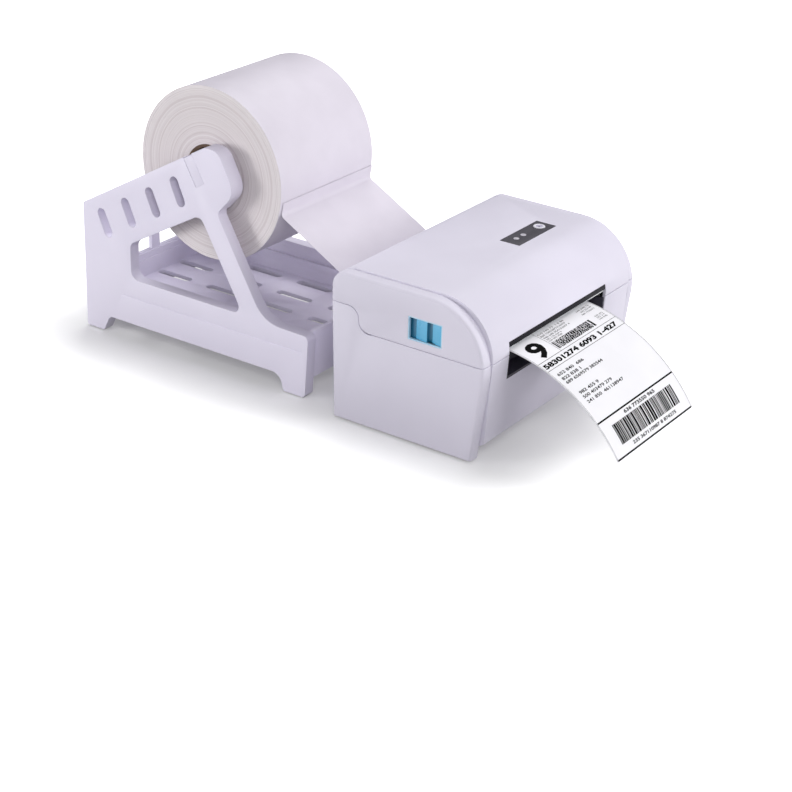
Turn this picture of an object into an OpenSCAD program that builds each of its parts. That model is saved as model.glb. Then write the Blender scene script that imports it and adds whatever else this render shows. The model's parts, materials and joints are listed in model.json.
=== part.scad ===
// Desktop thermal label printer with its external roll stand, a roll of labels and the web between them.
// X runs across the paper, +Y points from the exit slot towards the roll stand, +Z is up.
// The origin lies on the desk, under the middle of the whole set.

/* [Housing] */
// Overall width of the printer over its two cheeks
body_w = 196.4; // [190:0.2:204]
// Depth of the printer, front face to rear wall
body_d = 121; // [118:0.5:126]
// Height of the printer's top panel above the desk
body_h = 108.4; // [106:0.2:114]
// Wall thickness of the mouldings
wall = 2.4; // [2:0.1:2.8]
// Width of each side cheek
cheek_w = 10; // [9:0.5:12]
// Radius of the big curve from the top panel to the front
front_r = 38; // [34:0.5:40]
// Radius of the same curve on the cheeks
cheek_front_r = 43; // [41:0.5:46]
// How far the cheeks lie below the top panel
cheek_drop = 1; // [0.6:0.1:2]
// How far the cheeks lie behind the front face
cheek_back = 0.6; // [0.2:0.1:1.5]
// Width of the rounded rim round each cheek
cheek_rim = 4.5; // [3:0.5:6]
// Depth of the groove between a cheek and the middle
groove_d = 2.5; // [1.5:0.25:3]
// Width of that groove
groove_w = 0.8; // [0.6:0.1:1.2]
// Radius of the rear top edge
rear_r = 11; // [8:0.5:13]
// How far the rear wall leans in at its foot
rear_lean = 2.8; // [1:0.2:4]
// How far the front face leans in at its foot
front_lean = 3.5; // [2:0.5:5]
// Height of the chin under the front face
chin_h = 12; // [9:0.5:14]
// Depth of the rising underside behind the chin
chin_d = 16; // [12:0.5:20]

/* [Seam and hinge] */
// Height of the seam between base and cover at the front
seam_z = 69.8; // [68:0.2:72]
// Height of the seam at the rear
seam_rear_z = 86; // [84:0.5:88]
// Radius of the two bends of the seam on the cheeks
seam_r = 8; // [7:0.5:9]
// Distance of the upright part of the seam in front of the rear wall
seam_back = 23; // [20:0.5:26]
// Gap between base and cover along the seam
seam_gap = 0.5; // [0.4:0.1:0.8]
// Radius of the hinge knuckles
knuckle_r = 3; // [2.8:0.1:3.2]
// Length of a hinge knuckle
knuckle_w = 4.5; // [4:0.5:5]
// Radius of the hinge pins
pin_r = 1.5; // [1.2:0.1:1.8]

/* [Slot and latch] */
// Left end of the exit slot
slot_x = -68.5; // [-70:0.5:-68.5]
// Width of the exit slot
slot_w = 124.5; // [120:0.5:126]
// Height of the slot's lower edge
slot_low = 52; // [50:0.5:54]
// Height of the slot's upper edge
slot_high = 78.4; // [78:0.2:80]
// Length of a latch window
window_l = 26.3; // [25:0.1:28]
// Height of a latch window
window_h = 16.4; // [15:0.2:17]
// Distance of the windows behind the front face
window_back = 32.7; // [31:0.1:35]
// Height of the windows' lower edge above the seam
window_up = 5; // [5:0.2:7]
// Travel of a latch slider
latch_travel = 4; // [3:0.25:4.5]

/* [Control panel] */
// Length of the dark control panel
panel_l = 48.5; // [44:0.5:52]
// Width of the control panel
panel_w = 16; // [15:0.5:18]
// Left end of the control panel
panel_x = 13; // [8:0.5:20]
// Distance of the panel's middle behind the front face
panel_back = 53.5; // [50:0.5:58]
// Radius of the feed button
button_r = 4.2; // [4:0.1:5]
// Radius of a status light
light_r = 2.1; // [1.8:0.1:2.3]
// Travel of the feed button
button_travel = 1; // [0.6:0.1:1.2]

/* [Paper] */
// Middle of the label web across the printer
media_x = -16.75; // [-17:0.05:-16.5]
// Width of the label web
web_w = 102.5; // [102:0.5:103]
// Thickness of web and label
web_t = 0.3; // [0.2:0.05:0.4]
// Width of a printed label
label_w = 101.6; // [100:0.1:101.8]
// Height at which the label leaves the slot
exit_z = 72; // [71.8:0.1:72.2]
// Radius of the hanging label's curl
curl_r = 117; // [105:1:130]
// Slope of the label as it leaves the slot
curl_start = 8; // [7:0.5:9]
// Slope of the label at its free end
curl_end = 58; // [50:1:60]
// Distance of the paper's rear bend in front of the rear wall
bend_in = 6.5; // [6:0.5:7]
// Height of the paper's rear bend
bend_z = 79.5; // [79:0.25:80]

/* [Label roll] */
// Outer radius of the label roll
roll_r = 62.2; // [50:0.5:64]
// Width of the roll
roll_w = 105; // [104:0.5:107]
// Inner radius of the cardboard core
core_r = 19.05; // [18:0.05:20]
// Thickness of the core
core_t = 2.2; // [1.5:0.1:3]
// Distance of the roll's axis behind the printer's rear wall
roll_back = 125.5; // [124:0.5:130]
// Height of the roll's axis
roll_z = 137; // [135:0.5:139]
// Angle below the horizontal at which the web leaves the roll
peel_a = 16; // [10:1:20]
// Radius of the bar that carries the roll
bar_r = 12; // [10:0.5:14]

/* [Roll stand] */
// Middle of the stand and its roll across the printer
stand_x = -18; // [-18.5:0.25:-17.5]
// Overall width of the stand
stand_w = 139.2; // [138:0.2:144]
// Length of the stand
stand_l = 205.5; // [200:0.5:212]
// Gap between the printer's rear wall and the stand
stand_gap = 26.5; // [24:0.5:32]
// Thickness of the side plates
plate_t = 9; // [8:0.5:9]
// Thickness of the heads that hold the bar
head_t = 12.2; // [11:0.2:13]
// Height of the side plates' lower rail
rail_z = 48; // [44:0.5:50]
// Height of the arch under the side plates
arch_z = 13; // [10:0.5:15]
// Height of the side plates at the rear
rear_z = 98.8; // [94:0.2:102]
// Slope of the side plates' top edge
top_slope = 29.6; // [28:0.2:31]
// Width of the bar's end keys
key_w = 8.3; // [7:0.1:9]
// Length of the bar's end keys
key_l = 21.5; // [20:0.5:22]
// Height of the tray's floor
tray_z = 24; // [20:0.5:26]
// Thickness of the tray's floor and walls
tray_t = 3; // [2.5:0.1:3.5]
// Height of the tray's side rims
rim_z = 38; // [34:0.5:40]
// Height of the tray's rear wall
back_z = 80; // [76:0.5:84]
// Length of a slot in the tray's floor
vent_l = 32; // [28:1:36]
// Width of a slot in the tray's floor
vent_w = 7; // [5:0.5:8]

/* [Drive] */
// Radius of the platen roller
platen_r = 8; // [7.5:0.1:8.3]
// Radius of the platen's steel shaft
shaft_r = 3; // [2.5:0.1:3.5]
// Distance of the platen behind the front face
platen_back = 26; // [25.5:0.25:27]
// Module of the gear train
gear_m = 0.8; // [0.75:0.01:0.82]
// Face width of the gears
gear_w = 6; // [5:0.5:7]
// Radius of the stepper motor
motor_r = 17.5; // [15:0.5:18]
// Length of the stepper motor
motor_l = 28; // [24:1:32]

/* [Clearances] */
// Gap between pieces that move past each other
slip = 0.3; // [0.25:0.05:0.4]
// Radial clearance of a shaft in its bearing
run_fit = 0.05; // [0.02:0.01:0.08]
// Gap between the bar's keys and their notches
key_fit = 0.25; // [0.1:0.05:0.3]
// Height of the rubber feet
foot_h = 1.6; // [1.2:0.1:2.4]

/* [Hidden] */
$fn = 64;
eps = 0.01;

// Faces of the printer, measured from its middle
front_y = -body_d / 2;
rear_y = body_d / 2;
core_half = body_w / 2 - cheek_w;
cheek_top = body_h - cheek_drop;
cheek_front = front_y + cheek_back;
hinge_y = rear_y - knuckle_r;
hinge_z = seam_rear_z + knuckle_r;
seam_y = rear_y - seam_back;
window_y = front_y + window_back;
window_z = seam_z + window_up;
pin_x = core_half - 2 * knuckle_w - 2 * slip;

// Paper path
curl_y = front_y - 0.5 + curl_r * sin(curl_start);
curl_z = exit_z - curl_r * cos(curl_start);
flat_z = curl_z + curl_r;
bend_y = rear_y - bend_in;
platen_y = front_y + platen_back;
platen_z = flat_z - web_t / 2 - slip - platen_r;
roll_y = rear_y + roll_back;
bar_z = roll_z + core_r - bar_r - slip;
peel_y = roll_y - (roll_r + slip + web_t / 2) * cos(peel_a);
peel_z = roll_z - (roll_r + slip + web_t / 2) * sin(peel_a);
split_y = curl_y + 2;
deck_gap = 0.6;
bar_guide_r = 4;
bend_r = bar_guide_r + slip + web_t / 2;
deck_front = platen_y + platen_r + 1;
deck_rear = bend_y - 5;

// Stand
stand_front = rear_y + stand_gap;
stand_rear = stand_front + stand_l;
inner_half = stand_w / 2 - plate_t;
head_half = stand_w / 2 - head_t;
tray_half = inner_half;

// Gear train: tooth counts, centres and the turn that puts the teeth in mesh at rest
platen_teeth = 36;
idler_teeth = 24;
pinion_teeth = 12;
idler_a = -30;
pinion_a = -42;
mesh_gap = 0.08;
frame_x = slot_x + slot_w + 4;
frame_left_x = slot_x - 4;
frame_t = 1.5;
gear_x = frame_x + frame_t + 2;
idler_d = gear_m * (platen_teeth + idler_teeth) / 2 + mesh_gap;
pinion_d = gear_m * (idler_teeth + pinion_teeth) / 2 + mesh_gap;
idler_y = platen_y + idler_d * cos(idler_a);
idler_z = platen_z + idler_d * sin(idler_a);
motor_y = idler_y + pinion_d * cos(pinion_a);
motor_z = idler_z + pinion_d * sin(pinion_a);
idler_turn = idler_a + 180 + 180 / idler_teeth;
idler_lag = idler_turn - pinion_a;
pinion_turn = pinion_a + 180 + 180 / pinion_teeth - idler_lag * idler_teeth / pinion_teeth;

// Middle of the whole set along Y, from the label's free end to the stand's rear face
label_end_y = curl_y - (curl_r + web_t / 2) * sin(curl_end);
set_y = (label_end_y + stand_rear) / 2;

// ---- Shared shapes ----

// Puts everything in the set's frame
module in_set() {
  translate([0, -set_y, 0]) children();
}

// Extrudes an outline drawn in Y and Z from x0 to x1
module along_x(x0, x1) {
  translate([x0, 0, 0]) rotate([90, 0, 90]) linear_extrude(x1 - x0) children();
}

// A round bar along X
module rod_x(x0, x1, y, z, r) {
  translate([x0, y, z]) rotate([0, 90, 0]) cylinder(h = x1 - x0, r = r);
}

module both_sides() {
  children();
  mirror([1, 0, 0]) children();
}

function unit(v) = v / norm(v);

// Middle of the arc that rounds the corner b between a and c
function corner_mid(a, b, c, r) =
  let(u = unit(a - b), v = unit(c - b))
  b + unit(u + v) * r / sin(acos(u * v) / 2);

// Points of the arc that rounds the corner b between a and c
function corner_arc(a, b, c, r, n) =
  let(u = unit(a - b), v = unit(c - b), half = acos(u * v) / 2)
  let(mid = b + unit(u + v) * r / sin(half), p = b + u * r / tan(half), q = b + v * r / tan(half))
  let(a0 = atan2(p.y - mid.y, p.x - mid.x), a1 = atan2(q.y - mid.y, q.x - mid.x))
  let(turn = a1 - a0, sweep = turn > 180 ? turn - 360 : (turn < -180 ? turn + 360 : turn))
  [for (i = [0 : n]) mid + r * [cos(a0 + sweep * i / n), sin(a0 + sweep * i / n)]];

// Outline through corners given as [y, z, radius]
function rounded(pts, n = 6) =
  let(c = len(pts))
  [for (i = [0 : c - 1])
    let(a = pts[(i + c - 1) % c], b = pts[i], d = pts[(i + 1) % c])
    each (b[2] == 0 ? [[b.x, b.y]]
      : corner_arc([a.x, a.y], [b.x, b.y], [d.x, d.y], b[2], n))];

// Centre line turned into a strip of thickness t
function strip(pts, t) =
  let(c = len(pts) - 1)
  let(dirs = [for (i = [0 : c]) unit(pts[min(i + 1, c)] - pts[max(i - 1, 0)])])
  concat([for (i = [0 : c]) pts[i] + t / 2 * [-dirs[i].y, dirs[i].x]],
    [for (i = [c : -1 : 0]) pts[i] - t / 2 * [-dirs[i].y, dirs[i].x]]);

// Side view of the printer's middle, shrunk by w
module core_outline(w = 0) {
  front_z = body_h - front_r;
  translate([front_y + front_r, front_z]) circle(front_r - w);
  translate([rear_y - rear_r, cheek_top - rear_r]) circle(rear_r - w);
  polygon([[front_y + w, front_z], [front_y + front_lean + w, chin_h + w],
    [front_y + front_lean + chin_d, foot_h + w], [rear_y - rear_lean - w, foot_h + w],
    [rear_y - w, seam_rear_z], [rear_y - w, cheek_top - rear_r], [rear_y - rear_r, cheek_top - w],
    [rear_y - rear_r - 1, body_h - w], [front_y + front_r, body_h - w],
    [front_y + front_r, front_z]]);
}

// Side view of a cheek, shrunk by w
module cheek_outline(w = 0) {
  curve_z = cheek_top - cheek_front_r;
  intersection() {
    union() {
      translate([cheek_front + cheek_front_r, curve_z]) circle(cheek_front_r - w);
      translate([rear_y - rear_r, cheek_top - rear_r]) circle(rear_r - w);
      polygon([[cheek_front + w, curve_z], [cheek_front + 2 * front_lean + w, foot_h],
        [rear_y - rear_lean - w, foot_h], [rear_y - w, seam_rear_z],
        [rear_y - w, cheek_top - rear_r], [rear_y - rear_r, cheek_top - w],
        [cheek_front + cheek_front_r, cheek_top - w], [cheek_front + cheek_front_r, curve_z]]);
    }
    translate([front_y, foot_h + w / 3]) square([body_d, body_h]);
  }
}

// Everything above the seam, lowered by g
module cover_zone(g = 0) {
  far = 2 * body_d;
  low = seam_z - g;
  high = seam_rear_z - g;
  step = seam_y + g;
  translate([-far, low]) square([far + seam_y - seam_r, far]);
  translate([seam_y - seam_r, low + seam_r]) square([seam_r + g, far]);
  translate([seam_y - seam_r, low + seam_r]) circle(seam_r + g);
  difference() {
    translate([seam_y, high - seam_r]) square([seam_r + g, far]);
    translate([step + seam_r, high - seam_r]) circle(seam_r);
  }
  difference() {
    translate([step + seam_r - eps, high]) square([far, far]);
    translate([hinge_y, high - eps]) square([far, knuckle_r + g]);
  }
  if (g > 0) translate([hinge_y - eps, high]) square([far, far]);
  translate([hinge_y, hinge_z]) circle(knuckle_r);
}

module base_zone() {
  difference() {
    translate([-body_d, -1]) square([2 * body_d, 2 * body_h]);
    cover_zone(seam_gap);
  }
}

// A cheek's solid form: a rounded rim, a flat face and the groove beside the middle
module cheek_form() {
  outer = body_w / 2;
  root = core_half + groove_w;
  steps = [[0, 0], [0.6, 0.06], [0.9, 0.28], [1, 1]];
  hull() {
    along_x(root, outer - cheek_rim) cheek_outline();
    for (s = steps)
      along_x(outer - cheek_rim - eps, outer - cheek_rim * (1 - s[0])) cheek_outline(cheek_rim * s[1]);
  }
}

module cheek_shell() {
  difference() {
    union() {
      cheek_form();
      along_x(core_half, core_half + groove_w + eps) cheek_outline(groove_d);
    }
    along_x(core_half - 1, body_w / 2 - wall) cheek_outline(groove_d + wall);
  }
}

module slot_box(z0, z1) {
  translate([slot_x, front_y - 5, z0]) cube([slot_w, 17, z1 - z0]);
}

// Teeth with straight flanks on a round blank
module gear_outline(teeth, bore) {
  pitch_r = gear_m * teeth / 2;
  tip_r = pitch_r + 0.75 * gear_m;
  root_r = pitch_r - 1.05 * gear_m;
  half_pitch = 90 / teeth;
  difference() {
    union() {
      circle(root_r);
      for (i = [0 : teeth - 1])
        rotate(i * 360 / teeth)
          polygon([[root_r - 0.3, -root_r * sin(1.15 * half_pitch)],
            [pitch_r, -pitch_r * sin(0.84 * half_pitch)], [tip_r, -tip_r * sin(0.42 * half_pitch)],
            [tip_r, tip_r * sin(0.42 * half_pitch)], [pitch_r, pitch_r * sin(0.84 * half_pitch)],
            [root_r - 0.3, root_r * sin(1.15 * half_pitch)]]);
    }
    circle(bore);
  }
}

// ---- Printer, lower part ----

module base_shell() {
  color("lavender") in_set() difference() {
    union() {
      along_x(-core_half, core_half) intersection() {
        difference() {
          core_outline();
          core_outline(wall);
        }
        base_zone();
      }
      both_sides() along_x(core_half - wall, core_half) intersection() {
        difference() {
          core_outline(wall / 2);
          core_outline(9);
        }
        base_zone();
      }
      base_knuckles();
      screw_bosses();
    }
    // Open underside for the bottom plate
    translate([-core_half + 8, front_y + front_lean + chin_d + 6, -1])
      cube([2 * core_half - 16, body_d - front_lean - chin_d - rear_lean - 16, foot_h + wall + 1.5]);
    slot_box(slot_low, seam_z + 1);
    // Rear paper slot
    translate([slot_x - 1, rear_y - 10, seam_rear_z - 12]) cube([slot_w + 2, 20, 20]);
    usb_hole();
    dc_hole();
    switch_hole();
  }
}

// Bosses on ribs from the side walls, which take the screws of the bottom plate
module screw_bosses() {
  low = foot_h + wall;
  for (s = [-1, 1], y = [plate_front + screw_in, plate_rear - screw_in]) difference() {
    union() {
      translate([s * (plate_x - screw_in), y, low]) cylinder(h = boss_h, r = boss_r);
      translate([s > 0 ? plate_x - screw_in : 1 - core_half, y - rib_t / 2, low])
        cube([core_half - 1 - plate_x + screw_in, rib_t, boss_h - 2]);
    }
    translate([s * (plate_x - screw_in), y, low - 1]) cylinder(h = boss_h, r = screw_r);
  }
}

module base_knuckles() {
  both_sides() difference() {
    union() {
      rod_x(pin_x, pin_x + knuckle_w, hinge_y, hinge_z, knuckle_r);
      translate([pin_x, hinge_y - knuckle_r, seam_rear_z - 8])
        cube([knuckle_w, 2 * knuckle_r, 8 + knuckle_r]);
    }
    rod_x(pin_x - 1, pin_x + knuckle_w + 1, hinge_y, hinge_z, pin_r);
  }
}

module base_cheek() {
  difference() {
    intersection() {
      cheek_shell();
      along_x(0, body_w) base_zone();
    }
    rod_x(core_half, body_w / 2 - wall + 1, striker_y, striker_z, striker_r);
  }
}

module base_cheek_left() {
  color("lavender") in_set() mirror([1, 0, 0]) base_cheek();
}

module base_cheek_right() {
  color("lavender") in_set() base_cheek();
}

plate_x = core_half - 8 - slip;
plate_front = front_y + front_lean + chin_d + 6 + slip;
plate_rear = rear_y - rear_lean - 10 - slip;
screw_r = 1.5;
screw_in = 4;
screw_head_r = 2.7;
screw_head_h = 1.3;
boss_r = 3;
boss_h = 7;
rib_t = 3;
foot_r = 6;

module bottom_plate() {
  color("lightsteelblue") in_set() difference() {
    union() {
      translate([-plate_x, plate_front, foot_h]) cube([2 * plate_x, plate_rear - plate_front, wall]);
      board_posts() translate([0, 0, -eps]) cylinder(h = board_z - foot_h - wall + eps, r = 3);
    }
    plate_corners() {
      cylinder(h = 4 * wall, r = screw_r, center = true);
      translate([0, 0, -1]) cylinder(h = 1 + screw_head_h + 0.1, r = screw_head_r + slip);
    }
  }
}

module plate_corners() {
  for (x = [-plate_x + screw_in, plate_x - screw_in], y = [plate_front + screw_in, plate_rear - screw_in])
    translate([x, y, foot_h]) children();
}

// Heads sunk flush in the plate, shanks in the bosses above it
module bottom_screws() {
  color("silver") in_set() plate_corners() {
    translate([0, 0, 0.1]) cylinder(h = screw_head_h, r = screw_head_r);
    translate([0, 0, screw_head_h]) cylinder(h = wall + boss_h - screw_head_h - 2, r = screw_r - run_fit);
  }
}

module rubber_feet() {
  color("dimgray") in_set() for (x = [-core_half + 24, core_half - 24], y = [plate_front + 8, plate_rear - 8])
    translate([x, y, 0]) cylinder(h = foot_h, r = foot_r);
}

bezel_t = 1.6;
bezel_top = seam_z - 1.5;
module front_bezel() {
  x0 = slot_x;
  x1 = slot_x + slot_w;
  lip_y = front_y + 1.4;
  back_y = platen_y - platen_r - 3;
  color("#262430") in_set() {
    union() {
      along_x(x0, x1) polygon([[lip_y, slot_low], [back_y, slot_low], [back_y + 1.8, bezel_top],
        [back_y + 1.8 - bezel_t, bezel_top], [back_y - bezel_t, slot_low + bezel_t],
        [lip_y, slot_low + bezel_t]]);
      for (x = [x0, x1 - bezel_t])
        along_x(x, x + bezel_t) polygon([[lip_y, slot_low], [back_y, slot_low],
          [back_y + 1.8, bezel_top], [lip_y - 0.4, bezel_top]]);
    }
  }
}

deck_angle = atan((bend_z - flat_z) / (bend_y - platen_y));
function deck_z(y) = flat_z + (y - platen_y) * tan(deck_angle) - web_t / 2 - deck_gap;
deck_t = 2;
sensor_x = -10;
sensor_y = platen_y + 22;
sensor_w = 10;

module media_deck() {
  color("#3b3a44") in_set() difference() {
    along_x(frame_left_x + frame_t, frame_x)
      polygon([[deck_front, deck_z(deck_front)], [deck_rear, deck_z(deck_rear)],
        [deck_rear, deck_z(deck_rear) - deck_t], [deck_front, deck_z(deck_front) - deck_t]]);
    translate([sensor_x - sensor_w / 2, sensor_y - sensor_w / 2, seam_z - 5]) cube([sensor_w, sensor_w, 20]);
  }
}

module gap_sensor() {
  color("#17171c") in_set() difference() {
    top = deck_z(sensor_y - sensor_w / 2) - 0.2;
    translate([sensor_x - sensor_w / 2, sensor_y - sensor_w / 2, top - 7]) cube([sensor_w, sensor_w, 7]);
    translate([sensor_x, sensor_y, top - 1]) cylinder(h = 3, r = 1.5);
  }
}

module rear_guide_bar() {
  color("silver") in_set() rod_x(frame_left_x + frame_t, frame_x, bend_mid.x, bend_mid.y, bar_guide_r);
}

guide_h = 7;
guide_t = 2;
guide_foot = 7;
guide_travel = slot_x + slot_w + 4 - (media_x + web_w / 2) - slip - guide_foot - 0.5;
guide_front = deck_front + 12;
guide_rear = deck_rear - 12;

module guide_profile(x, foot_x) {
  along_x(x, x + guide_t) polygon([[guide_front, deck_z(guide_front)], [guide_rear, deck_z(guide_rear)],
    [guide_rear - 4, deck_z(guide_rear) + guide_h], [guide_front + 4, deck_z(guide_front) + guide_h]]);
  along_x(foot_x, foot_x + guide_foot) polygon([[guide_front, deck_z(guide_front)],
    [guide_rear, deck_z(guide_rear)], [guide_rear, deck_z(guide_rear) + 1.4],
    [guide_front, deck_z(guide_front) + 1.4]]);
}

bend_mid = corner_mid([platen_y, flat_z], [bend_y, bend_z], [peel_y, peel_z], bend_r);

module fixed_side_guide() {
  wall_x = media_x - web_w / 2 - slip - guide_t;
  color("#3b3a44") in_set() along_x(wall_x, wall_x + guide_t)
    polygon([[guide_front, deck_z(guide_front)], [guide_rear, deck_z(guide_rear)],
      [guide_rear - 4, deck_z(guide_rear) + guide_h], [guide_front + 4, deck_z(guide_front) + guide_h]]);
}

module sliding_side_guide() {
  wall_x = media_x + web_w / 2 + slip;
  color("#3b3a44") in_set() translate([0, 0, run_fit]) guide_profile(wall_x, wall_x);
}

board_z = 12;
board_x = -64;
board_w = 106;
board_t = 1.6;
board_setback = 36;
board_hole_r = 1.6;
board_front = front_y + board_setback;
board_rear = plate_rear - 2;
module main_board() {
  color("darkgreen") in_set() difference() {
    translate([board_x, board_front, board_z]) cube([board_w, board_rear - board_front, board_t]);
    board_posts() cylinder(h = 4 * board_z, r = board_hole_r, center = true);
  }
}

module board_posts() {
  for (x = [board_x + 4, board_x + board_w - 4], y = [board_front + 4, board_rear - 4])
    translate([x, y, foot_h + wall]) children();
}

// Chips and connectors as [place on the board, size], and the places of the round capacitors
chips = [[[34, 16.5], [14, 14, 1.6]], [[8, 14.5], [10, 12, 1.4]], [[66, 34.5], [8, 10, 2.2]],
  [[90, 32.5], [14, 6, 6]], [[44, 44.5], [9, 9, 5]]];
capacitor_places = [[56, 44.5], [80, 44.5], [56, 56.5], [80, 56.5]];
capacitor_r = 4;
capacitor_h = 9;
module board_components() {
  color("#22232a") in_set() translate([board_x, board_front, board_z + board_t]) {
    for (c = chips) translate(c[0]) cube(c[1]);
    for (at = capacitor_places) translate(at) cylinder(h = capacitor_h, r = capacitor_r);
  }
}

// Height above the desk at which the rear wall is reached
function rear_face(z) = rear_y - rear_lean * (1 - (z - foot_h) / (seam_rear_z - foot_h));
usb_x = -40;
usb_w = 12;
usb_h = 11;
module usb_hole() {
  translate([usb_x - usb_w / 2 - slip, rear_y - 8, board_z + board_t - slip])
    cube([usb_w + 2 * slip, 12, usb_h + 2 * slip]);
}

module usb_socket() {
  z0 = board_z + board_t;
  back = rear_face(z0) - 0.3;
  color("silver") in_set() difference() {
    translate([usb_x - usb_w / 2, back - 16, z0]) cube([usb_w, 16, usb_h]);
    translate([usb_x - 4.3, back - 12, z0 + 1.5]) difference() {
      cube([8.6, 13, 7.9]);
      translate([1.5, -1, 2.4]) cube([5.6, 12, 3.2]);
    }
  }
}

dc_x = -6;
dc_z = board_z + board_t + 5.5;
dc_r = 4;
dc_pin_r = 1;
dc_plug_r = 2.85;
dc_l = 13;
module dc_hole() {
  rod_y(dc_x, rear_y - 8, rear_y + 4, dc_z, dc_r + slip);
}

module rod_y(x, y0, y1, z, r) {
  translate([x, y0, z]) rotate([-90, 0, 0]) cylinder(h = y1 - y0, r = r);
}

dc_back = rear_face(dc_z) - 0.3;
module dc_inlet() {
  color("#1c1c20") in_set() {
    difference() {
      union() {
        translate([dc_x - 4.5, dc_back - dc_l, dc_z - 5.5]) cube([9, dc_l - 4, 11]);
        rod_y(dc_x, dc_back - 5, dc_back, dc_z, dc_r);
      }
      rod_y(dc_x, dc_back - dc_l + 3, dc_back + 1, dc_z, dc_plug_r);
    }
    rod_y(dc_x, dc_back - dc_l + 2.5, dc_back - 1.5, dc_z, dc_pin_r);
  }
}

switch_x = 52;
switch_z = 20;
switch_w = 13;
switch_h = 19;
module switch_hole() {
  translate([switch_x - switch_w / 2, rear_y - 8, switch_z - switch_h / 2 + foot_h])
    cube([switch_w, 12, switch_h]);
}

switch_back = rear_face(switch_z);
switch_mid = switch_z + foot_h;
rocker_r = 6.8;
rocker_y = switch_back - 3.5;
module switch_frame() {
  color("#1c1c20") in_set() difference() {
    union() {
      translate([switch_x - switch_w / 2, switch_back - 14, switch_mid - switch_h / 2])
        cube([switch_w, 15, switch_h]);
      translate([switch_x - switch_w / 2 - 1, switch_back + 0.6, switch_mid - switch_h / 2 - 1])
        cube([switch_w + 2, 1.4, switch_h + 2]);
    }
    translate([switch_x - switch_w / 2 + 2, switch_back - 12, switch_mid - switch_h / 2 + 2])
      cube([switch_w - 4, 20, switch_h - 4]);
    rod_x(switch_x - switch_w / 2 + 0.8, switch_x + switch_w / 2 - 0.8, rocker_y, switch_mid, 1 + run_fit);
  }
}

rocker_tilt = 12;
module switch_rocker() {
  half = switch_w / 2 - 2 - slip;
  color("#141417") in_set() {
    along_x(switch_x - half, switch_x + half) translate([rocker_y, switch_mid]) rotate(rocker_tilt)
      polygon(rounded([[-3, -2, 0.5], [-1, -rocker_r, 0.8], [4.6, -rocker_r + 0.6, 0.8], [3.4, 0, 0],
        [4.6, rocker_r - 0.6, 0.8], [-1, rocker_r, 0.8], [-3, 2, 0.5]], 4));
    rod_x(switch_x - switch_w / 2 + 1, switch_x - half, rocker_y, switch_mid, 1);
    rod_x(switch_x + half, switch_x + switch_w / 2 - 1, rocker_y, switch_mid, 1);
  }
}

bush_r = 6;
module frame_outline() {
  difference() {
    polygon([[platen_y - 9, platen_z + 6.2], [platen_y - 9, foot_h + wall + 12],
      [platen_y + 6, foot_h + wall], [plate_rear - 2, foot_h + wall], [bend_y, foot_h + wall + 20],
      [bend_y, bend_mid.y + bar_guide_r], [bend_mid.x - 6, bend_mid.y + bar_guide_r],
      [bend_mid.x - 10, deck_z(bend_mid.x) + 1.5], [deck_front + 4, deck_z(deck_front) + 1.5],
      [deck_front, deck_z(deck_front) - deck_t], [platen_y + 9, platen_z + 6.2]]);
    translate([platen_y, platen_z]) circle(bush_r);
  }
}

module side_frame_left() {
  color("lightgray") in_set() along_x(frame_left_x, frame_left_x + frame_t) frame_outline();
}

module side_frame_right() {
  color("lightgray") in_set() along_x(frame_x, frame_x + frame_t) difference() {
    frame_outline();
    translate([motor_y, motor_z]) circle(4);
    translate([idler_y, idler_z]) circle(2);
  }
}

module platen_bushes() {
  color("ivory") in_set() for (x = [frame_left_x, frame_x])
    difference() {
      union() {
        rod_x(x, x + frame_t, platen_y, platen_z, bush_r);
        rod_x(x - 1.2, x, platen_y, platen_z, bush_r + 1.2);
      }
      rod_x(x - 2, x + frame_t + 1, platen_y, platen_z, shaft_r + run_fit);
    }
}

platen_x0 = frame_left_x + frame_t + 1;
platen_x1 = frame_x - 1.2 - 0.8;
module platen_shaft() {
  color("silver") in_set() rod_x(frame_left_x - 3, gear_x + gear_w + 1.5, platen_y, platen_z, shaft_r);
}

module platen_rubber() {
  color("#26262b") in_set() difference() {
    rod_x(platen_x0, platen_x1, platen_y, platen_z, platen_r);
    rod_x(platen_x0 - 1, platen_x1 + 1, platen_y, platen_z, shaft_r);
  }
}

module platen_gear() {
  color("white") in_set() along_x(gear_x, gear_x + gear_w) translate([platen_y, platen_z])
    rotate(idler_a) gear_outline(platen_teeth, shaft_r);
}

module idler_gear() {
  color("white") in_set() along_x(gear_x, gear_x + gear_w) translate([idler_y, idler_z])
    rotate(idler_turn) gear_outline(idler_teeth, 2 + run_fit);
}

module idler_pin() {
  color("silver") in_set() {
    rod_x(frame_x, gear_x + gear_w + slip, idler_y, idler_z, 2);
    rod_x(frame_x + frame_t, gear_x - slip, idler_y, idler_z, 4);
    rod_x(gear_x + gear_w + slip, gear_x + gear_w + 1.5, idler_y, idler_z, 3.4);
  }
}

module stepper_motor() {
  color("#4a4a52") in_set() difference() {
    union() {
      rod_x(frame_x - motor_l, frame_x, motor_y, motor_z, motor_r);
      rod_x(frame_x, frame_x + frame_t, motor_y, motor_z, 4);
    }
    rod_x(frame_x - motor_l + 3, frame_x + frame_t + 1, motor_y, motor_z, 1.5 + run_fit);
  }
}

module motor_pinion() {
  color("goldenrod") in_set() {
    along_x(gear_x, gear_x + gear_w) translate([motor_y, motor_z]) rotate(pinion_turn)
      gear_outline(pinion_teeth, 1.5);
    rod_x(frame_x - motor_l + 4, gear_x + gear_w + 0.5, motor_y, motor_z, 1.5);
  }
}

module hinge_pins() {
  color("silver") in_set() both_sides()
    rod_x(pin_x - knuckle_w - slip + 1, core_half - 1, hinge_y, hinge_z, pin_r);
}

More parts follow.
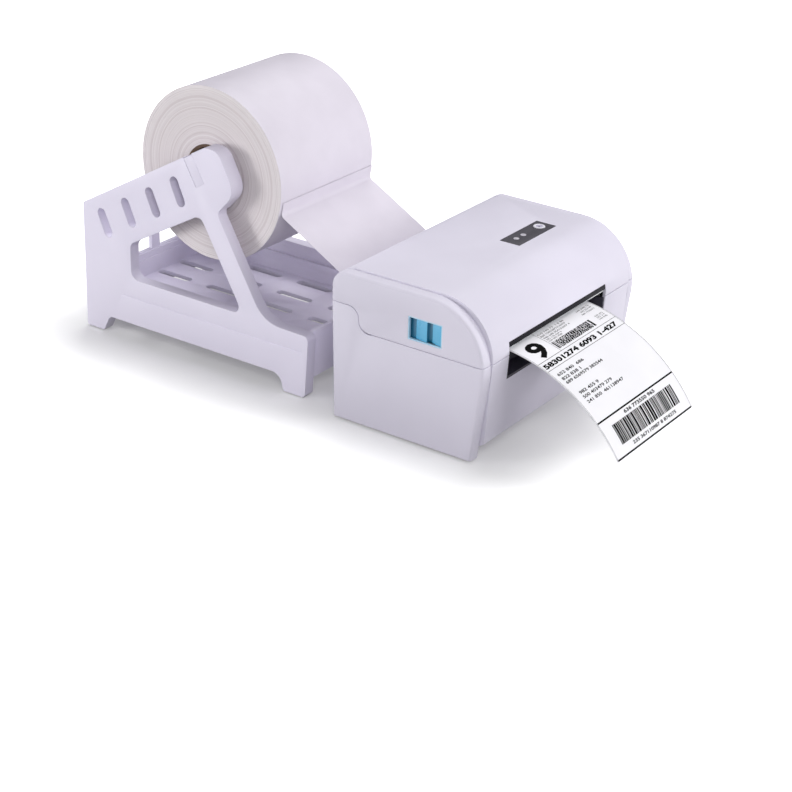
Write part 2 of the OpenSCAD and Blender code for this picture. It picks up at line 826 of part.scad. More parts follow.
striker_y = window_y - 3;
striker_z = seam_z - 6;
striker_r = 2;
module latch_strikers() {
  color("silver") in_set() both_sides()
    rod_x(core_half, body_w / 2 - wall + 1, striker_y, striker_z, striker_r);
}

// ---- Printer, cover ----

module cover_shell() {
  color("lavender") in_set() difference() {
    union() {
      along_x(-core_half, core_half) intersection() {
        difference() {
          core_outline();
          core_outline(wall);
        }
        cover_zone();
      }
      both_sides() along_x(core_half - wall, core_half) intersection() {
        difference() {
          core_outline(wall / 2);
          core_outline(9);
        }
        cover_zone();
      }
      cover_knuckles();
    }
    slot_box(seam_z - 1, slot_high);
    both_sides() translate([pin_x - slip, hinge_y - 2 * knuckle_r, seam_rear_z - 1])
      cube([knuckle_w + 2 * slip, 4 * knuckle_r, 3 * knuckle_r]);
    both_sides() rod_x(pin_x - 3 * knuckle_w, core_half + 1, hinge_y, hinge_z, pin_r + run_fit);
    // Seat of the control panel and the holes for its button and lights
    translate([panel_x, panel_y - panel_w / 2, body_h - panel_t]) cube([panel_l, panel_w, 2]);
    translate([button_x, button_y, body_h - 5]) cylinder(h = 10, r = button_r + slip);
    for (x = light_xs) translate([x, button_y, body_h - 5]) cylinder(h = 10, r = light_r);
  }
}

module cover_knuckles() {
  inner_r = knuckle_r - 0.3;
  both_sides() for (x = [pin_x - knuckle_w - slip, pin_x + knuckle_w + slip]) {
    rod_x(x, x + knuckle_w, hinge_y, hinge_z, inner_r);
    translate([x, hinge_y - inner_r, hinge_z]) cube([knuckle_w, inner_r + knuckle_r - wall + 0.2, 8]);
  }
}

module cover_cheek() {
  difference() {
    intersection() {
      cheek_shell();
      along_x(0, body_w) cover_zone();
    }
    translate([body_w / 2 - 2 * wall, window_y, window_z]) cube([3 * wall, window_l, window_h]);
  }
  // Rails that hold the latch slider behind its window
  low = window_z - 1.2 - slip;
  high = window_z + window_h + 1.2 + slip;
  translate([rail_x, window_y, low - 1.2]) cube([body_w / 2 - wall - rail_x + eps, window_l, 1.2]);
  translate([rail_x, window_y, low - eps]) cube([0.8, window_l, 1.5]);
  translate([rail_x, window_y, high]) cube([body_w / 2 - wall - rail_x + eps, window_l, 1.2]);
  translate([rail_x, window_y, high - 1.5 + eps]) cube([0.8, window_l, 1.5]);
}

module cover_cheek_left() {
  color("lavender") in_set() mirror([1, 0, 0]) cover_cheek();
}

module cover_cheek_right() {
  color("lavender") in_set() cover_cheek();
}

frame_rim = 0.8;
slider_t = 2.2;
slider_in = body_w / 2 - wall - slip;
rail_x = slider_in - slider_t - slip - 0.8;
module latch_window_frames() {
  color("lightskyblue") in_set() both_sides() difference() {
    translate([body_w / 2 - wall, window_y, window_z]) cube([wall - 0.2, window_l, window_h]);
    translate([body_w / 2 - 2 * wall, window_y + frame_rim, window_z + frame_rim])
      cube([3 * wall, window_l - 2 * frame_rim, window_h - 2 * frame_rim]);
  }
}

pad_l = window_l - 2 * frame_rim - 2 * slip - latch_travel;
pad_h = window_h - 2 * frame_rim - 2 * slip;
pad_y = window_y + frame_rim + slip;
module latch_slider() {
  plate_z = window_z - 1.2;
  // Boss that carries the hook past the rails
  translate([rail_x - slip, striker_y + striker_r + slip + 4, window_z + 4])
    cube([slider_in - slider_t - rail_x + slip + eps, 6, 5]);
  // The plate fills the window over the whole travel
  translate([slider_in - slider_t, window_y - latch_travel - slip, plate_z])
    cube([slider_t, window_l + latch_travel + 2 * slip, window_h + 2.4]);
  // Two ramps that rise towards the front, with a hollow between them, give the thumb its grip
  translate([slider_in - eps, pad_y, window_z + frame_rim + slip]) linear_extrude(pad_h)
    polygon([[0, 0], [1.7, 0], [1.3, 0.2 * pad_l], [0.1, 0.38 * pad_l], [0.1, 0.5 * pad_l],
      [2.2, 0.53 * pad_l], [1.9, 0.62 * pad_l], [0.5, pad_l], [0, pad_l]]);
}

module latch_slider_left() {
  color("deepskyblue") in_set() mirror([1, 0, 0]) latch_slider();
}

module latch_slider_right() {
  color("deepskyblue") in_set() latch_slider();
}

hook_t = 1.6;
module latch_hook() {
  front = striker_y + striker_r + slip;
  along_x(rail_x - hook_t - slip, rail_x - slip)
    polygon(rounded([[front + 3, window_z + 10, 1], [front + 3, striker_z + 3.5, 1],
      [front, striker_z + 2, 0.5], [front + 1.8, striker_z - 3, 1], [front + 9, striker_z - 3, 2],
      [front + 11, window_z + 10, 1]], 4));
}

module latch_hook_left() {
  color("silver") in_set() mirror([1, 0, 0]) latch_hook();
}

module latch_hook_right() {
  color("silver") in_set() latch_hook();
}

panel_y = front_y + panel_back;
panel_t = 0.8;
button_x = panel_x + panel_l - 8.4;
button_y = panel_y + 0.8;
light_xs = [panel_x + 10.2, panel_x + 19.2];
module control_panel() {
  color("#48464e") in_set() difference() {
    translate([panel_x + 0.1, panel_y - panel_w / 2 + 0.1, body_h - panel_t])
      cube([panel_l - 0.2, panel_w - 0.2, panel_t + 0.1]);
    translate([button_x, button_y, body_h - 5]) cylinder(h = 10, r = button_r + slip);
    for (x = light_xs) translate([x, button_y, body_h - 5]) cylinder(h = 10, r = light_r);
  }
}

panel_board_z = body_h - 11;
switch_top = panel_board_z + board_t + 4;
button_up = 0.5;
module feed_button() {
  flange_z = body_h - wall - slip - 1.2;
  color("whitesmoke") in_set() translate([button_x, button_y, 0]) {
    difference() {
      translate([0, 0, flange_z]) cylinder(h = body_h + button_up - flange_z, r = button_r);
      translate([0, 0, body_h + button_up - 0.4]) cylinder(h = 1, r = 2.6);
    }
    translate([0, 0, flange_z]) cylinder(h = 1.2, r = button_r + 1.5);
    translate([0, 0, switch_top + button_travel + 0.2])
      cylinder(h = flange_z - switch_top - button_travel, r = 2);
  }
}

module status_lights() {
  color("aliceblue") in_set() for (x = light_xs)
    translate([x, button_y, panel_board_z + board_t])
      cylinder(h = body_h + 0.3 - panel_board_z - board_t, r = light_r);
}

module panel_board() {
  color("darkgreen") in_set() {
    translate([panel_x + 2, panel_y - panel_w / 2 + 1, panel_board_z])
      cube([panel_l - 4, panel_w - 2, board_t]);
    translate([button_x - 3, button_y - 3, panel_board_z + board_t]) cube([6, 6, 3]);
    translate([button_x, button_y, panel_board_z + board_t + 3]) cylinder(h = 1, r = 1.5);
    for (x = [panel_x + 3.5, panel_x + panel_l - 3.5]) translate([x, panel_y - 5.7, panel_board_z + board_t])
      cylinder(h = body_h - wall - panel_board_z - board_t, r = 1.2);
  }
}

tear_z = flat_z - 0.2 + 1.2;
module upper_bezel() {
  color("#262430") in_set() along_x(slot_x + slip, slot_x + slot_w - slip)
    polygon([[front_y + 0.3, tear_z + 0.6], [front_y + 0.9, slot_high], [front_y + 9, slot_high],
      [front_y + 9, slot_high - 2], [front_y + 6, tear_z + 0.6]]);
}

tooth_w = 2;
module tear_bar() {
  x0 = slot_x + 2;
  teeth = floor((slot_w - 4) / tooth_w);
  color("gainsboro") in_set() translate([x0, front_y + 0.1, tear_z]) linear_extrude(0.6)
    polygon(concat([for (i = [0 : 2 * teeth]) [i * tooth_w / 2, i % 2 == 0 ? 0.8 : 0]],
      [[teeth * tooth_w, 6], [0, 6]]));
}

head_x0 = slot_x + 1;
head_l = 112;
head_z = flat_z + web_t / 2 + slip / 2;
head_y = platen_y;
spring_z = head_z + 14;
spring_h = 8;
head_springs_x = [head_x0 + 22, head_x0 + head_l - 22];
module printhead() {
  color("#8c7b5a") in_set() difference() {
    along_x(head_x0, head_x0 + head_l) polygon([[head_y - 5, head_z + 0.6], [head_y - 1.5, head_z],
      [head_y + 1.5, head_z], [head_y + 5, head_z + 0.4], [head_y + 12, head_z + 1.2],
      [head_y + 12, head_z + 3], [head_y - 5, head_z + 3]]);
  }
}

module heat_sink() {
  color("silver") in_set() {
    translate([head_x0 + 1, head_y - 4.5, head_z + 3]) cube([head_l - 2, 15, 4]);
    for (y = [-4.5 : 3.3 : 9]) translate([head_x0 + 6, head_y + y, head_z + 7 - eps])
      cube([head_l - 12, 1.4, y > -2 && y < 2 ? 7 : 4.5]);
    for (x = head_springs_x) translate([x, head_y, head_z + 7 - eps]) cylinder(h = 7, r = 4.5);
  }
}

// A coil of round wire is shown as its closed outer form with an open middle
module head_springs() {
  color("darkgray") in_set() for (x = head_springs_x) translate([x, head_y, spring_z]) difference() {
    cylinder(h = spring_h, r = 3.5);
    translate([0, 0, -1]) cylinder(h = spring_h + 2, r = 2.4);
  }
}

module head_frame() {
  top = body_h - wall;
  seat = spring_z + spring_h;
  color("#5b5a64") in_set() {
    translate([head_x0 - 4, head_y - 9, seat]) cube([head_l + 8, 24, 1.6]);
    for (x = [head_x0 + 4, head_x0 + head_l / 2 - 1.5, head_x0 + head_l - 7])
      translate([x, front_y + front_r, seat + 1.6 - eps]) cube([3, 3, top - seat - 1.6 + eps]);
    for (x = head_springs_x) translate([x, head_y, seat - 2]) cylinder(h = 2 + eps, r = 1.6);
  }
}

// ---- Roll stand ----

// Side view of a plate; the top edge runs at top_slope down to the rear corner
function top_edge(y) = rear_z + (stand_rear - 4 - y) * tan(top_slope);
head_top = bar_z + 18.8;
stand_pad_h = 0.8;
leg_slope = 60;
leg_y = stand_front + 38.7;

module plate_outline() {
  top_y = stand_rear - 4 - (head_top - rear_z) / tan(top_slope);
  polygon(rounded([
    [stand_front + 2.6, stand_pad_h, 3], [stand_front + 21.5, stand_pad_h, 2],
    [stand_front + 24.5, arch_z, 9],
    [stand_rear - 22.5, arch_z, 5], [stand_rear - 16.7, stand_pad_h, 2], [stand_rear, stand_pad_h, 2],
    [stand_rear - 0.8, rear_z - 1.8, 4], [top_y, head_top, 8],
    [roll_y - 21.5, head_top, 11], [roll_y - 35.8, bar_z - 8.9, 13],
    [roll_y - 20, bar_z - 26, 5], [leg_y, rail_z, 25], [stand_front, rail_z - 0.8, 4]], 8));
}

opening_front = 57;
opening_rear = 160.2;
beam_h = 47;
module plate_opening() {
  foot_y = stand_front + opening_front;
  back_y = stand_front + opening_rear;
  floor_z = rail_z + 0.5;
  rise = top_edge(back_y) - beam_h;
  both = tan(leg_slope) + tan(top_slope);
  meet = (rise - floor_z + back_y * tan(top_slope) + foot_y * tan(leg_slope)) / both;
  polygon(rounded([[foot_y, floor_z, 5], [back_y, floor_z, 7], [back_y, rise, 6],
    [meet, floor_z + (meet - foot_y) * tan(leg_slope), 6]], 6));
}

slot_pitch = 26.6;
slot_tilt = 24;
module grip_slots() {
  for (i = [0 : 3]) {
    mid_y = stand_rear - 21.7 - i * slot_pitch * cos(top_slope);
    translate([mid_y, top_edge(mid_y) - 23]) rotate(-slot_tilt) {
      square([7.6, 14.4], center = true);
      for (s = [-7.2, 7.2]) translate([0, s]) circle(3.8);
    }
  }
}

module key_shape(extra) {
  translate([roll_y, bar_z]) rotate(-top_slope)
    translate([-key_w / 2 - extra, -key_l / 2]) square([key_w + 2 * extra, key_l]);
}

module notch_shape() {
  translate([roll_y, bar_z]) rotate(-top_slope)
    translate([-key_w / 2 - key_fit, -key_l / 2]) square([key_w + 2 * key_fit, 2 * key_l]);
}

head_reach = 60;
head_block_l = 82;
head_block_h = 60;
module stand_side() {
  outer = stand_w / 2;
  difference() {
    union() {
      along_x(inner_half, outer) plate_outline();
      along_x(head_half, inner_half + eps) intersection() {
        plate_outline();
        translate([roll_y - head_reach, bar_z - 2 * bar_r]) square([head_block_l, head_block_h]);
      }
    }
    along_x(head_half - 1, outer + 1) {
      plate_opening();
      grip_slots();
      notch_shape();
    }
    // Shallow line moulded along the rail
    along_x(outer - 0.4, outer + 1) translate([stand_front + 6, rail_z - 14]) square([stand_l - 42, 0.5]);
    tray_screw_holes();
    pad_places() translate([0, 0, -1]) cube([6, 11, 2 * stand_pad_h + 1]);
  }
}

module stand_side_left() {
  color("lavender") in_set() translate([stand_x, 0, 0]) mirror([1, 0, 0]) stand_side();
}

module stand_side_right() {
  color("lavender") in_set() translate([stand_x, 0, 0]) stand_side();
}

tray_front = stand_front + 3;
tray_rear = stand_rear - 4;
window_count = 4;
window_pitch = 30;
window_open = 21;
module stand_tray() {
  color("lavender") in_set() translate([stand_x, 0, 0]) difference() {
    union() {
      translate([-tray_half, tray_front, tray_z - tray_t])
        cube([2 * tray_half, tray_rear - tray_front, tray_t]);
      for (x = [-tray_half, tray_half - tray_t])
        translate([x, tray_front, tray_z - eps]) cube([tray_t, tray_rear - tray_front, rim_z - tray_z]);
      along_x(-tray_half, tray_half) polygon([[tray_front, arch_z], [tray_front + tray_t, arch_z],
        [tray_front + tray_t, rail_z - 0.8], [tray_front, rail_z - 0.8]]);
      // Rear wall, thicker towards its foot in three steps
      along_x(-tray_half, tray_half) polygon([[tray_rear, arch_z], [tray_rear, back_z],
        [tray_rear - tray_t, back_z], [tray_rear - tray_t, rim_z + 4], [tray_rear - tray_t - 1, rim_z + 4],
        [tray_rear - tray_t - 1, rim_z - 1], [tray_rear - tray_t - 2, rim_z - 1],
        [tray_rear - tray_t - 2, arch_z]]);
    }
    for (row = [-2 : 2], col = [0 : 3])
      translate([row * 24.5, tray_front + 34 + col * 47.7, tray_z - tray_t - 1]) vent();
    for (i = [0 : window_count - 1])
      translate([(i - (window_count - 1) / 2) * window_pitch - window_open / 2, tray_rear - 10, rim_z + 5])
        cube([window_open, 20, back_z - rim_z - 13]);
    tray_screw_holes();
    mirror([1, 0, 0]) tray_screw_holes();
  }
}

module vent() {
  depth = tray_t + 2;
  translate([-vent_w / 2, -vent_l / 2 + vent_w / 2, 0]) cube([vent_w, vent_l - vent_w, depth]);
  for (s = [-1, 1]) translate([0, s * (vent_l - vent_w) / 2, 0]) cylinder(h = depth, r = vent_w / 2);
}

tray_screw_r = 1.5;
tray_screw_z = (tray_z + rim_z) / 2;
module tray_screw_holes() {
  for (y = [tray_front + 22, tray_rear - 22])
    rod_x(tray_half - tray_t - 1, tray_half + 6, y, tray_screw_z, tray_screw_r);
}

module stand_screws() {
  color("silver") in_set() translate([stand_x, 0, 0]) both_sides()
    for (y = [tray_front + 22, tray_rear - 22]) {
      rod_x(tray_half - tray_t, tray_half + 5.5, y, tray_screw_z, tray_screw_r);
      rod_x(tray_half - tray_t - 1.6, tray_half - tray_t, y, tray_screw_z, tray_screw_r + 1.4);
    }
}

module pad_places() {
  for (y = [stand_front + 5, stand_rear - 14.5])
    translate([inner_half + 1.5, y, 0]) children();
}

module stand_pads() {
  color("dimgray") in_set() translate([stand_x, 0, 0]) both_sides()
    pad_places() cube([6, 11, 2 * stand_pad_h]);
}

module spindle_bar() {
  color("whitesmoke") in_set() translate([stand_x, 0, 0]) {
    rod_x(-head_half + slip, head_half - slip, roll_y, bar_z, bar_r);
    both_sides() along_x(head_half - slip - eps, stand_w / 2) key_shape(0);
  }
}

// ---- Labels ----

module roll_core() {
  color("tan") in_set() difference() {
    rod_x(stand_x - roll_w / 2, stand_x + roll_w / 2, roll_y, roll_z, core_r + core_t);
    rod_x(stand_x - roll_w, stand_x + roll_w, roll_y, roll_z, core_r);
  }
}

module label_roll() {
  color("white") in_set() difference() {
    rod_x(stand_x - roll_w / 2, stand_x + roll_w / 2, roll_y, roll_z, roll_r);
    rod_x(stand_x - roll_w, stand_x + roll_w, roll_y, roll_z, core_r + core_t);
  }
}

wrap = [for (i = [1 : 3]) let(a = peel_a - 3 * i)
  [roll_y - (roll_r + slip + web_t / 2) * cos(a), roll_z - (roll_r + slip + web_t / 2) * sin(a)]];
web_path = concat([[split_y, flat_z]],
  corner_arc([split_y, flat_z], [platen_y, flat_z], [bend_y, bend_z], 40, 3),
  corner_arc([platen_y, flat_z], [bend_y, bend_z], [peel_y, peel_z], bend_r, 5),
  corner_arc([bend_y, bend_z], [peel_y, peel_z], wrap[0], 3.5, 5), [wrap[1], wrap[2]]);

module label_web() {
  color("white") in_set() along_x(media_x - web_w / 2, media_x + web_w / 2) polygon(strip(web_path, web_t));
}

curl_steps = 20;
label_path = concat([[split_y, flat_z]], [for (i = [0 : curl_steps])
  let(a = curl_end * i / curl_steps) [curl_y - curl_r * sin(a), curl_z + curl_r * cos(a)]]);

module printed_label() {
  color("white") in_set() along_x(media_x - label_w / 2, media_x + label_w / 2)
    polygon(strip(label_path, web_t));
}

base_shell();
base_cheek_left();
base_cheek_right();
bottom_plate();
bottom_screws();
rubber_feet();
front_bezel();
media_deck();
rear_guide_bar();
fixed_side_guide();
sliding_side_guide();
gap_sensor();
main_board();
board_components();
usb_socket();
dc_inlet();
switch_frame();
switch_rocker();
side_frame_left();
side_frame_right();
platen_bushes();
platen_shaft();
platen_rubber();
platen_gear();
idler_gear();
idler_pin();
stepper_motor();
motor_pinion();
hinge_pins();
latch_strikers();
cover_shell();
cover_cheek_left();
cover_cheek_right();
latch_window_frames();
latch_slider_left();
latch_slider_right();
latch_hook_left();
latch_hook_right();
control_panel();
feed_button();
status_lights();
panel_board();
upper_bezel();
tear_bar();
head_frame();
printhead();
heat_sink();
head_springs();
stand_side_left();
stand_side_right();
stand_tray();
stand_screws();
stand_pads();
spindle_bar();
roll_core();
label_roll();
label_web();
printed_label();
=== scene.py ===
import json
import math
import random

import bmesh
import bpy
from mathutils import Matrix, Vector

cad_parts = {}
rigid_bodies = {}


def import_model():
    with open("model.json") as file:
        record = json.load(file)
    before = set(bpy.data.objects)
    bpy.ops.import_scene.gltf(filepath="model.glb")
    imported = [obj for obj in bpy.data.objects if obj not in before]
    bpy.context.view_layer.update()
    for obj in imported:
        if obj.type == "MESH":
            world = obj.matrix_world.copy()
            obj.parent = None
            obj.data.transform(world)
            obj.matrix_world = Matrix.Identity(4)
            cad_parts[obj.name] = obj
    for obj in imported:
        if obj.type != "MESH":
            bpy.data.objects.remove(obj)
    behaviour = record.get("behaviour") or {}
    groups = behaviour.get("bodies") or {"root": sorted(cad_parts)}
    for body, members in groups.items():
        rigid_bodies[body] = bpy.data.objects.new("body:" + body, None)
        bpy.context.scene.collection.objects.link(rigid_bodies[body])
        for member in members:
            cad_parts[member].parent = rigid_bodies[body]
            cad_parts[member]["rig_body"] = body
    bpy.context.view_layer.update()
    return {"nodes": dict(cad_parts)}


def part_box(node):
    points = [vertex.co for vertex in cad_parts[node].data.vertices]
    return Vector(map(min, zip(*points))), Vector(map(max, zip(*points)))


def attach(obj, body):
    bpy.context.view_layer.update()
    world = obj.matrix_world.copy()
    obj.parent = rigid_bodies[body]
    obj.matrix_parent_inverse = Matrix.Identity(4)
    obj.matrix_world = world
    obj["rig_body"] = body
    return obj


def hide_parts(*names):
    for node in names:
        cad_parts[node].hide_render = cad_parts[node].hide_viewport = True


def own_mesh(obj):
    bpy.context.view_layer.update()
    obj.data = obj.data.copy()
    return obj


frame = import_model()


# ---- Studio ----
# A white sweep of paper under soft boxes, seen from the set's left front corner.
# It glows to plain white away from the set and less near and under it, which paints a soft shade round and
# under the set.
# It is clear from below, so the undersides can be looked at.

def new_material(name):
    """An empty material and its output node."""
    material = bpy.data.materials.new(name)
    material.use_nodes = True
    material.node_tree.nodes.clear()
    output = material.node_tree.nodes.new("ShaderNodeOutputMaterial")
    return material, output


def feed(tree, socket, source):
    """Sets a socket to a number, or links it to another socket."""
    if isinstance(source, (int, float)):
        socket.default_value = source
    else:
        tree.links.new(source, socket)


def worked(tree, operation, *terms):
    """The value of a Math node fed by sockets or numbers."""
    made = tree.nodes.new("ShaderNodeMath")
    made.operation = operation
    for socket, term in zip(made.inputs, terms):
        feed(tree, socket, term)
    return made.outputs["Value"]


# Tones of the paper for bounced light and as it is seen, and its glow: low near and under the set, which
# paints shade there, and full beyond its reach
sweep_half = 6.0
sweep_tone, sweep_seen_tone = 0.46, 0.86
painted_shade_glow, glow_high, glow_start, painted_shade_reach = 0.13, 1.0, 0.0, 0.1
foot_low, foot_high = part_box("base_shell")[0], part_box("stand_side_right")[1]
foot_mid = Vector(((foot_low.x + foot_high.x) / 2, (foot_low.y + foot_high.y) / 2, 0))
foot_half = Vector((foot_high.x - foot_mid.x, foot_high.y - foot_mid.y, 0))
sweep_paper, sweep_output = new_material("white_sweep")
tree = sweep_paper.node_tree
seen = tree.nodes.new("ShaderNodeLightPath")
glow = tree.nodes.new("ShaderNodeEmission")
matt = tree.nodes.new("ShaderNodeBsdfDiffuse")
shown = worked(tree, "MAXIMUM", seen.outputs["Is Camera Ray"], seen.outputs["Is Glossy Ray"])
spot = tree.nodes.new("ShaderNodeTexCoord")
away = spot.outputs["Object"]
outside_foot = (("SUBTRACT", foot_mid), ("ABSOLUTE", None), ("SUBTRACT", foot_half), ("MAXIMUM", Vector()))
for operation, term in outside_foot:
    step = tree.nodes.new("ShaderNodeVectorMath")
    step.operation = operation
    tree.links.new(away, step.inputs[0])
    if term:
        step.inputs[1].default_value = term
    away = step.outputs["Vector"]
apart = tree.nodes.new("ShaderNodeVectorMath")
apart.operation = "LENGTH"
tree.links.new(away, apart.inputs[0])
# The glow falls towards the set's footprint: painted shade round its foot and under the tray
painted_shade_fade = tree.nodes.new("ShaderNodeMapRange")
painted_shade_fade.interpolation_type = "SMOOTHSTEP"
painted_shade_fade.inputs["From Min"].default_value = glow_start
painted_shade_fade.inputs["From Max"].default_value = painted_shade_reach
painted_shade_fade.inputs["To Min"].default_value = painted_shade_glow
painted_shade_fade.inputs["To Max"].default_value = glow_high
tree.links.new(apart.outputs["Value"], painted_shade_fade.inputs["Value"])
tree.links.new(worked(tree, "MULTIPLY", shown, painted_shade_fade.outputs["Result"]), glow.inputs["Strength"])
tone = tree.nodes.new("ShaderNodeMapRange")
tone.inputs["To Min"].default_value = sweep_tone
tone.inputs["To Max"].default_value = sweep_seen_tone
tree.links.new(shown, tone.inputs["Value"])
tree.links.new(tone.outputs["Result"], matt.inputs["Color"])
both = tree.nodes.new("ShaderNodeAddShader")
tree.links.new(glow.outputs["Emission"], both.inputs[0])
tree.links.new(matt.outputs["BSDF"], both.inputs[1])
below = tree.nodes.new("ShaderNodeNewGeometry")
clear = tree.nodes.new("ShaderNodeBsdfTransparent")
one_way = tree.nodes.new("ShaderNodeMixShader")
tree.links.new(below.outputs["Backfacing"], one_way.inputs["Fac"])
tree.links.new(both.outputs["Shader"], one_way.inputs[1])
tree.links.new(clear.outputs["BSDF"], one_way.inputs[2])
tree.links.new(one_way.outputs["Shader"], sweep_output.inputs["Surface"])

bm = bmesh.new()
bmesh.ops.create_grid(bm, x_segments=1, y_segments=1, size=sweep_half)
mesh = bpy.data.meshes.new("sweep")
bm.to_mesh(mesh)
bm.free()
sweep = bpy.data.objects.new("sweep", mesh)
bpy.context.scene.collection.objects.link(sweep)
mesh.materials.append(sweep_paper)

world = bpy.data.worlds.new("studio_air")
bpy.context.scene.world = world
world.use_nodes = True
air = world.node_tree
air.nodes.clear()
air_light = air.nodes.new("ShaderNodeBackground")
air_light.inputs["Color"].default_value = (0.96, 0.96, 1.0, 1)
air_light.inputs["Strength"].default_value = 0.28
air_white = air.nodes.new("ShaderNodeBackground")
air_white.inputs["Color"].default_value = (1, 1, 1, 1)
air_path = air.nodes.new("ShaderNodeLightPath")
air_mix = air.nodes.new("ShaderNodeMixShader")
air_output = air.nodes.new("ShaderNodeOutputWorld")
air.links.new(air_path.outputs["Is Camera Ray"], air_mix.inputs["Fac"])
air.links.new(air_light.outputs["Background"], air_mix.inputs[1])
air.links.new(air_white.outputs["Background"], air_mix.inputs[2])
air.links.new(air_mix.outputs["Shader"], air_output.inputs["Surface"])


def soft_box(name, place, aim, size, watts):
    """A square area light that faces aim."""
    lamp = bpy.data.lights.new(name, "AREA")
    lamp.shape = "SQUARE"
    lamp.size = size
    lamp.energy = watts
    holder = bpy.data.objects.new(name, lamp)
    bpy.context.scene.collection.objects.link(holder)
    holder.location = place
    holder.rotation_euler = (Vector(aim) - Vector(place)).to_track_quat("-Z", "Y").to_euler()


soft_box("overhead_box", (0.85, 0.45, 1.5), (0.0, 0.0, 0.05), size=0.9, watts=11.8)
soft_box("high_right_box", (1.3, -0.3, 1.8), (0.0, 0.0, 0.05), size=0.9, watts=6.4)
soft_box("front_box", (0.3, -1.8, 0.6), (0.0, -0.1, 0.08), size=1.0, watts=8.5)
soft_box("low_right_box", (1.2, -1.3, 0.2), (0.1, -0.15, 0.03), size=0.6, watts=11.3)
soft_box("left_front_box", (-1.0, -0.75, 0.85), (0.0, 0.1, 0.05), size=0.6, watts=5.6)
soft_box("stand_box", (-1.3, 1.1, 0.3), (-0.08, 0.16, 0.08), size=0.5, watts=6.4)
soft_box("low_stand_box", (-1.5, 1.0, 0.16), (-0.08, 0.1, 0.08), size=0.4, watts=5.6)

bpy.context.scene.view_settings.view_transform = "Standard"

# The camera's place, its turn about Z from +Y, its dip below level and the tilt of its horizon
camera_at = Vector((-1.0298, -0.70652, 0.580))
camera_heading = math.radians(-55.576)
camera_dip = math.radians(25.895)
camera_tilt = math.radians(1.703)
lens = bpy.data.cameras.new("still_camera")
lens.sensor_width = 36
lens.lens = 87.107
camera = bpy.data.objects.new("still_camera", lens)
bpy.context.scene.collection.objects.link(camera)
back = Vector((math.sin(camera_heading) * math.cos(camera_dip),
               -math.cos(camera_heading) * math.cos(camera_dip), math.sin(camera_dip)))
right = Vector((math.cos(camera_heading), math.sin(camera_heading), 0))
up = back.cross(right)
tilted_right = right * math.cos(camera_tilt) + up * math.sin(camera_tilt)
tilted_up = up * math.cos(camera_tilt) - right * math.sin(camera_tilt)
turn = Matrix((tilted_right, tilted_up, back)).transposed().to_4x4()
camera.matrix_world = Matrix.Translation(camera_at) @ turn
bpy.context.scene.camera = camera


# ---- Printer housing ----
# The base, the cover and their cheeks are injection moulded in pale lilac-grey ABS with a fine skin.
# Every visible edge has the small radius that a mould leaves, and the two halves meet along a seam.

mm = 0.001
nodes = frame["nodes"]


def srgb(r, g, b):
    """A colour in 0 to 255 display values, as linear light."""
    def linear(v):
        v = v / 255
        return v / 12.92 if v <= 0.04045 else ((v + 0.055) / 1.055) ** 2.4
    return (linear(r), linear(g), linear(b), 1)


def pattern_group(name, values):
    """A shader group with a Vector, the named values, and the three masks that surface() reads."""
    made = bpy.data.node_groups.new(name, "ShaderNodeTree")
    made.interface.new_socket("Vector", in_out="INPUT", socket_type="NodeSocketVector")
    for label, default in values.items():
        socket = made.interface.new_socket(label, in_out="INPUT", socket_type="NodeSocketFloat")
        socket.default_value = default
    for label in ("Tone", "Grain", "Handling"):
        made.interface.new_socket(label, in_out="OUTPUT", socket_type="NodeSocketFloat")
    return made, made.nodes.new("NodeGroupInput"), made.nodes.new("NodeGroupOutput")


def noise(tree, vector, scale, detail=2.0, roughness=0.5):
    """A noise texture on a vector socket; scale is a number or a socket."""
    made = tree.nodes.new("ShaderNodeTexNoise")
    made.inputs["Detail"].default_value = detail
    made.inputs["Roughness"].default_value = roughness
    feed(tree, made.inputs["Scale"], scale)
    tree.links.new(vector, made.inputs["Vector"])
    return made.outputs["Fac"]


# Spark-eroded skin: a fine even grain, slow cloudy tone and faint handling marks
moulded_skin, given, made = pattern_group("moulded_skin",
                                          {"Grain per metre": 2600.0, "Cloud per metre": 14.0})
skin_grain = noise(moulded_skin, given.outputs["Vector"], given.outputs["Grain per metre"])
skin_cloud = noise(moulded_skin, given.outputs["Vector"], given.outputs["Cloud per metre"], detail=3)
skin_marks = noise(moulded_skin, given.outputs["Vector"], 55, detail=5, roughness=0.65)
moulded_skin.links.new(skin_cloud, made.inputs["Tone"])
moulded_skin.links.new(skin_grain, made.inputs["Grain"])
moulded_skin.links.new(skin_marks, made.inputs["Handling"])


